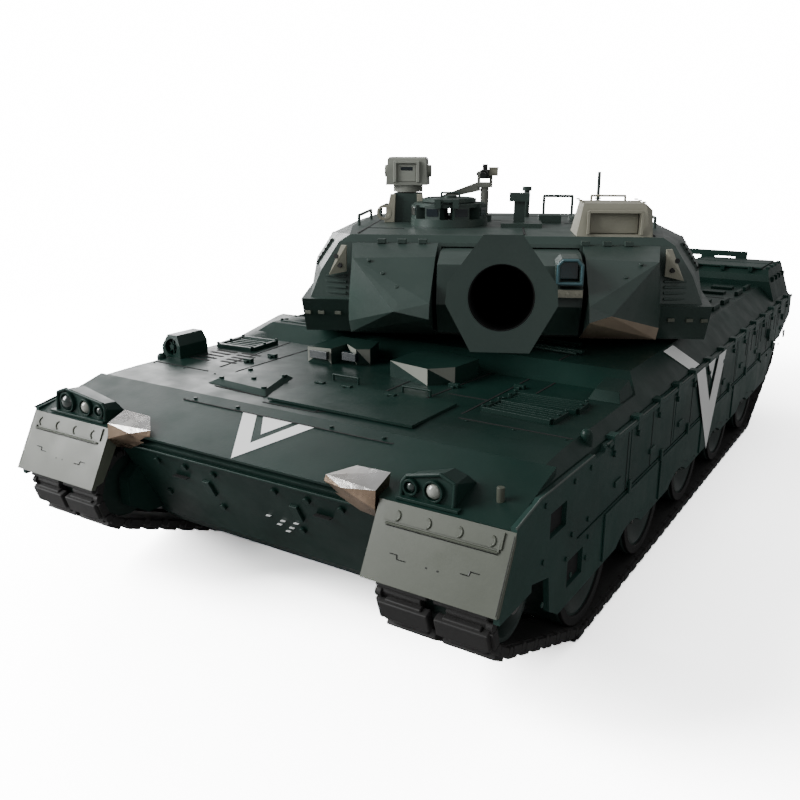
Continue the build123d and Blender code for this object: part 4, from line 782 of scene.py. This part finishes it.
def turret_side(side, word):
    """Storage boxes, tabs, louvres and the perforated rail on one side of the turret; the rail's holes are
    dark spots of painted shade.
    """
    plates, tabs, hole_shade = Shape(TURRET), Shape(TURRET), Shape(TURRET)
    for y0, y1 in ((7, 21), (23, 42)):
        plates.hull([(side * 62.0, y0, 67.0), (side * 62.0, y1, 67.0), (side * 61.0, y0, 73.5),
                     (side * 61.0, y1, 73.5), (side * 62.9, y0 + 1, 67.6), (side * 62.9, y1 - 1, 67.6),
                     (side * 61.9, y0 + 1, 73.0), (side * 61.9, y1 - 1, 73.0)])
    for y in RAIL_Y:
        low, high = on_shell(side, y, RAIL_LOW), on_shell(side, y, RAIL_TOP)
        plates.bar(low, high, 0.8, 1.8)
        # Each hole is a small dark box of painted shade, not an opening.
        for k in range(RAIL_HOLES):
            spot = low.lerp(high, (k + 0.5) / RAIL_HOLES) + Vector((side * 0.55, 0, 0.40))
            hole_shade.box(spot.x - 0.3, spot.x + 0.3, y - 0.46, y + 0.46, spot.z - 0.3, spot.z + 0.3)
    for y in (-28.0, -20.0, -12.0, -4.0):
        t = (y + 36.9) / 42
        x = 57.8 + 4.0 * t
        tabs.bar((side * (x + 0.15), y - 1.2, 63.5), (side * (x + 0.4), y + 1.2, 63.5), 0.5, 1.0)
        tabs.bar((side * (x + 0.1), y - 1.2, 59.0), (side * (x + 0.3), y + 1.2, 59.0), 0.5, 1.0)
    for a in (47.5, 52.5, 56.5):
        tabs.bar((side * (a - 1.0), -40.6, 62.0), (side * (a + 1.0), -39.9, 62.0), 0.5, 1.0)
    for i in range(4):
        z = 67.6 + 1.6 * i
        plates.bar((side * 45.2, -38.2 + 0.35 * i, z), (side * 51.5, -37.6 + 0.35 * i, z), 1.0, 0.7)
    plates.piece(f"turret_plates_{word}", TURRET_GREEN, "turret", "turret_plastic", 0.15)
    hole_shade.piece(f"turret_rail_hole_shade_{word}", SHADOW, "turret", "turret_plastic", 0)
    tabs.piece(f"turret_tabs_{word}", FLAP_GREY, "turret", "flap_plastic", 0.12)


def smoke_tubes(side, word):
    """Two dark discs of painted shade in the discharger mouths on each angled plate."""
    mouths = Shape(TURRET)
    for k in range(2):
        spot = Vector((side * (46.6 + 1.0 * k), -38.6, 75.6 + 2.6 * k))
        mouths.rod(spot, spot + Vector((side * 0.3, -1.3, 0.3)), 0.7, sides=16)
    mouths.piece(f"smoke_mouth_shade_{word}", SHADOW, "turret", "detail_plastic", 0)


def cheek_details(side, word):
    """Hinge tabs of the wedge armour."""
    tabs = Shape(TURRET)
    for t in (0.2, 0.5, 0.8):
        p = Vector((42, -45.9, 78.8)).lerp(Vector((27, -62.5, 69.1)), t)
        tabs.rod((side * (p.x - 2), p.y + 2, p.z + 0.9), (side * (p.x - 2), p.y + 1.4, p.z + 1.8), 0.6,
                 sides=8)
    for x in (23, 29, 35):
        tabs.box(side * (x - 1.2), side * (x + 1.2), -37.2, -35.0, 82.0, 83.2)
    tabs.piece(f"cheek_tabs_{word}", TURRET_GREEN, "turret", "turret_plastic", 0.1)


def gun_details():
    """Clamps on the barrel sleeve, the muzzle collar's rim and painted shade inside the bore."""
    bands, inside = Shape(GUN), Shape(GUN)
    for y in (-20.0, -34.0, -78.0, -100.0):
        radius = 5.4 if y > -60 else 4.9
        bands.ring((0, y, 0), (0, 1, 0), radius + 0.45, radius - 0.2, 1.6, 32)
        bands.box(-0.8, 0.8, y - 0.9, y + 0.9, radius, radius + 1.0)
    # A dark tube and disc inside the barrel: painted shade in the bore.
    inside.ring((0, -101.0, 0), (0, 1, 0), 3.79, 3.70, 83.5, 48)
    inside.rod((0, -60.0, 0), (0, -59.0, 0), 3.78, sides=32)
    bands.piece("barrel_bands", TURRET_GREEN, "turret", "turret_plastic", 0.15)
    inside.piece("bore_painted_shade", SHADOW, "turret", "black_plastic", 0)
    port, rim, strips = Shape(TURRET), Shape(TURRET), Shape(TURRET)
    port.box(15.1, 19.6, -57.2, -56.4, 75.4, 79.9)
    corners = [(14.3, 74.7), (20.4, 74.7), (20.4, 79.4), (19.2, 80.7), (15.5, 80.7), (14.3, 79.4),
               (14.3, 74.7)]
    rim.wire([(x, -60.6, z) for x, z in corners], 0.42)
    strips.box(12.8, 20.9, -60.1, -59.3, 71.0, 73.0)
    for x in (14.4, 17.0, 19.5):
        strips.rod((x, -60.1, 72.0), (x, -60.5, 72.0), 0.5, sides=10)
    port.piece("coaxial_glass", TEAL_GLASS, "turret", "turret_plastic", 0.05)
    rim.piece("coaxial_rim", TEAL_RIM, "turret", "turret_plastic", 0)
    strips.piece("coaxial_strip", KHAKI, "turret", "detail_plastic", 0.12)


def sight_details():
    """Gunner's sight glass, door frame and bolts; the turning sight's slot glass and side bumps."""
    glass, frame_parts = Shape(TURRET), Shape(TURRET)
    glass.box(24.8, 38.2, -28.2, -27.7, 84.8, 90.3)
    for a, b in (((24.0, 84.6), (24.0, 91.2)), ((39.0, 84.6), (39.0, 91.2)), ((24.0, 91.0), (39.0, 91.0))):
        frame_parts.bar((a[0], -31.3, a[1]), (b[0], -31.3, b[1]), 0.8, 0.8)
    bolts(frame_parts, [(x, -25.0 + 8 * k, 93.2) for x in (22.5, 40.0) for k in range(3)], 0.6, 0.4)
    frame_parts.wire([(26, -14, 93.1), (26, -14, 94.6), (36, -14, 94.6), (36, -14, 93.1)], 0.35)
    glass.piece("gunner_shutter", KHAKI, "turret", "detail_plastic", 0.05)
    frame_parts.piece("gunner_sight_fittings", KHAKI, "turret", "detail_plastic", 0.12)
    x, y = SIGHT
    slot, bumps = Shape(TURRET), Shape(TURRET)
    slot.box(x - 2.0, x + 2.0, y - 5.25, y - 4.9, 101.3, 102.4)
    bumps.box(x - 3.0, x + 3.0, y - 5.1, y - 4.5, 97.6, 103.4)
    for side in (1, -1):
        bumps.rod((x + side * 6.6, y, 101), (x + side * 7.9, y, 101), 2.0)
        bumps.box(x + side * 3.4, x + side * 4.4, y - 5.9, y - 5.2, 97.4, 103.8)
    bumps.box(x - 4.4, x + 4.4, y - 5.9, y - 5.2, 103.5, 104.3)
    legs = Shape(TURRET)
    for side in (1, -1):
        legs.hull([(x + side * a, y + b, z) for b in (-6.0, -4.6) for a, z in
                   ((7.5, ROOF_Z), (4.0, ROOF_Z), (3.6, 93.6), (5.4, 93.6))])
        legs.box(x + side * 4.4, x + side * 7.0, y - 4.6, y + 6.0, ROOF_Z, ROOF_Z + 1.2)
    legs.ring((x - 7.5, y - 5.4, 87.4), (0, 1, 0), 2.6, 1.7, 1.4, 24)
    legs.piece("panoramic_legs", KHAKI, "turret", "detail_plastic", 0.12)
    slot.piece("panoramic_glass", DARK_GLASS, "panoramic_sight", "detail_plastic", 0.05)
    bumps.piece("panoramic_fittings", DETAIL_GREY, "panoramic_sight", "detail_plastic", 0.15)


def cupola_details():
    """Periscope glasses and bolts round the cupola ring, and the lid's handle."""
    glasses, parts, lid = Shape(TURRET), Shape(TURRET), Shape(TURRET)
    x, y = CUPOLA
    for i in range(8):
        turn = math.radians(45.0 * i + 22.5)
        out = Vector((math.cos(turn), math.sin(turn), 0))
        across = Vector((-out.y, out.x, 0)) * 2.0
        centre = Vector((x, y, 88.8)) + out * 12.15
        glasses.bar(centre - across, centre + across, 0.35, 2.4)
        spot = Vector((x, y, 86.6)) + out * 11.6
        parts.rod(spot, spot + Vector((0, 0, 0.5)), 0.5, sides=8)
    lid.wire([(x - 3, y + 5.5, 92.6), (x - 3, y + 5.5, 94.2), (x + 3, y + 5.5, 94.2),
              (x + 3, y + 5.5, 92.6)], 0.35)
    lid.ring((x, y, 92.8), (0, 0, 1), 8.0, 7.3, 0.4, 48)
    glasses.piece("cupola_glasses", DARK_GLASS, "turret", "turret_plastic", 0.05)
    parts.piece("cupola_bolts", TURRET_GREEN, "turret", "turret_plastic", 0.08)
    lid.piece("lid_fittings", TURRET_GREEN, "loading_hatch", "turret_plastic", 0.1)


def machine_gun_details():
    """Ammunition box, sights, cocking lever, cooling slots and twin grips of the roof gun."""
    x, y = GUN_POST
    box, parts = Shape(TURRET), Shape(TURRET)
    box.box(x + 1.4, x + 4.4, y - 4.0, y + 2.5, 99.4, 102.0)
    box.box(x + 1.2, x + 4.6, y - 4.2, y + 2.7, 101.7, 102.2)
    parts.box(x - 0.5, x + 0.5, y - 5.0, y - 3.8, 101.2, 102.6)
    parts.rod((x + 0.0, y - 27.4, 100.2), (x + 0.0, y - 28.6, 100.2), 1.0)
    for i in range(5):
        parts.ring((x, y - 9.4 - 1.3 * i, 100.2), (0, 1, 0), 1.3, 1.05, 0.5, 20)
    for side in (1, -1):
        parts.rod((x + side * 1.5, y + 8.2, 98.2), (x + side * 1.5, y + 8.2, 101.0), 0.55, sides=12)
    parts.wire([(x - 1.3, y + 2, 100.2), (x - 2.6, y + 2.8, 100.2), (x - 2.6, y + 4.0, 100.2)], 0.3)
    box.piece("gun_ammunition_box", KHAKI, "machine_gun", "detail_plastic", 0.15)
    parts.piece("gun_fittings", BLACK, "machine_gun", "detail_plastic", 0.08)


def basket_load():
    """Roof rack rods, aerial springs, wind sensor, grab rails and stowed boxes at the turret's rear."""
    parts, load = Shape(TURRET), Shape(TURRET)
    for side in (1, -1):
        parts.wire([(side * 47, -4, 84.1), (side * 47, -4, 87.4), (side * 47, 22, 87.4),
                    (side * 47, 22, 84.1)], 0.5)
        parts.wire([(side * 44, 26, 84.1), (side * 44, 26, 88.2), (side * 44, 42, 88.2),
                    (side * 44, 42, 84.1)], 0.5)
        for k in range(5):
            parts.ring((side * 35 - 1.0, 44, 87.2 + 0.9 * k), (0, 0, 1), 1.15, 0.6, 0.5, 18)
    parts.rod((8, 40, 84.2), (8, 40, 93.5), 1.1)
    parts.rod((8, 40, 93.5), (8, 40, 95.0), 1.7)
    parts.wire([(14, 34, 84.2), (14, 34, 92), (24, 34, 92), (24, 34, 84.2)], 0.5)
    parts.box(11.5, 19, 12, 19, ROOF_Z, ROOF_Z + 2.6)
    parts.rod((30, 24, ROOF_Z), (30, 24, ROOF_Z + 1.6), 8.0, sides=40)
    parts.rod((30, 24, ROOF_Z + 1.6), (30, 24, ROOF_Z + 2.2), 6.6, sides=40)
    parts.wire([(26, 24, 86), (26, 24, 88), (34, 24, 88), (34, 24, 86)], 0.4)
    load.hull([(x, y, z) for x in (-38, -14) for y in (64.5, 74) for z in (66.8, 76.0)])
    load.hull([(x, y, z) for x in (-10, 8) for y in (64.5, 74) for z in (66.8, 74.0)])
    load.rod((13, 69.5, 70.8), (37, 69.5, 70.8), 3.9)
    parts.piece("roof_fittings", TURRET_GREEN, "turret", "turret_plastic", 0.15)
    load.piece("basket_load", KHAKI, "turret", "detail_plastic", 0.5)


turret_lines()
gun_details()
sight_details()
cupola_details()
machine_gun_details()
basket_load()
for side, word in SIDES:
    turret_side(side, word)
    smoke_tubes(side, word)
    cheek_details(side, word)


# ---------------------------------------------------------------- floor, light and camera
AMBIENT, SKY_SEEN, FLOOR_SEEN = 0.34, 16.0, 11.0


def seen_apart(tree, lighting, seen, output):
    """One shader for lighting and reflections, and another that only the camera sees."""
    blend = tree.nodes.new("ShaderNodeMixShader")
    tree.links.new(tree.nodes.new("ShaderNodeLightPath").outputs["Is Camera Ray"], blend.inputs["Fac"])
    tree.links.new(lighting, blend.inputs[1])
    tree.links.new(seen, blend.inputs[2])
    tree.links.new(blend.outputs["Shader"], output.inputs["Surface"])


def stage():
    mesh = bpy.data.meshes.new("floor")
    far = 6.0
    mesh.from_pydata([(-far, -far, 0), (far, -far, 0), (far, far, 0), (-far, far, 0)], [], [(0, 1, 2, 3)])
    floor = bpy.data.objects.new("floor", mesh)
    bpy.context.collection.objects.link(floor)
    pale = bpy.data.materials.new("pale_floor")
    pale.use_nodes = True
    tree = pale.node_tree
    plain = tree.nodes["Principled BSDF"]
    plain.inputs["Base Color"].default_value = (0.30, 0.30, 0.30, 1)
    plain.inputs["Roughness"].default_value = 0.7
    bright = node(tree, "ShaderNodeBsdfDiffuse", Color=(FLOOR_SEEN, FLOOR_SEEN, FLOOR_SEEN, 1))
    away = tree.nodes.new("ShaderNodeVectorMath")
    away.operation = "LENGTH"
    tree.links.new(tree.nodes.new("ShaderNodeTexCoord").outputs["Object"], away.inputs[0])
    glow = node(tree, "ShaderNodeEmission", Color=(1, 1, 1, 1), Strength=SKY_SEEN)
    fade = tree.nodes.new("ShaderNodeMixShader")
    tree.links.new(ramp(tree, away.outputs["Value"], 0, 1, 0.16, 0.50), fade.inputs["Fac"])
    tree.links.new(bright.outputs["BSDF"], fade.inputs[1])
    tree.links.new(glow.outputs["Emission"], fade.inputs[2])
    seen_apart(tree, plain.outputs["BSDF"], fade.outputs["Shader"], tree.nodes["Material Output"])
    mesh.materials.append(pale)
    world = bpy.data.worlds.new("studio")
    world.use_nodes = True
    tree = world.node_tree
    soft = tree.nodes["Background"]
    soft.inputs["Color"].default_value = (1, 1, 1, 1)
    soft.inputs["Strength"].default_value = AMBIENT
    clear = node(tree, "ShaderNodeBackground", Color=(1, 1, 1, 1), Strength=SKY_SEEN)
    seen_apart(tree, soft.outputs["Background"], clear.outputs["Background"], tree.nodes["World Output"])
    bpy.context.scene.world = world


def area_light(name, spot, size, power, target=(0, 0, 0.04)):
    light = bpy.data.lights.new(name, "AREA")
    light.size = size
    light.energy = power
    made = bpy.data.objects.new(name, light)
    made.location = spot
    made.rotation_euler = (Vector(target) - Vector(spot)).to_track_quat("-Z", "Y").to_euler()
    bpy.context.collection.objects.link(made)


def camera():
    lens = bpy.data.cameras.new("camera")
    lens.lens = FOCAL_LENGTH
    lens.sensor_width = SENSOR_WIDTH
    lens.clip_start = 0.005
    made = bpy.data.objects.new("camera", lens)
    made.location = HULL @ Vector(CAMERA_SPOT)
    level = math.cos(CAMERA_ELEVATION)
    forward = Vector((-math.sin(CAMERA_AZIMUTH) * level, math.cos(CAMERA_AZIMUTH) * level,
                      -math.sin(CAMERA_ELEVATION)))
    made.rotation_euler = forward.to_track_quat("-Z", "Y").to_euler()
    bpy.context.collection.objects.link(made)
    bpy.context.scene.camera = made


stage()
area_light("key", (-0.62, -0.52, 0.46), 0.5, 12.0)
area_light("fill", (0.9, -0.5, 0.5), 0.8, 1.5)
area_light("rim", (0.2, 0.9, 0.9), 0.8, 0.9)
area_light("far_left", (-0.95, 0.55, 0.38), 0.5, 6.0)
camera()
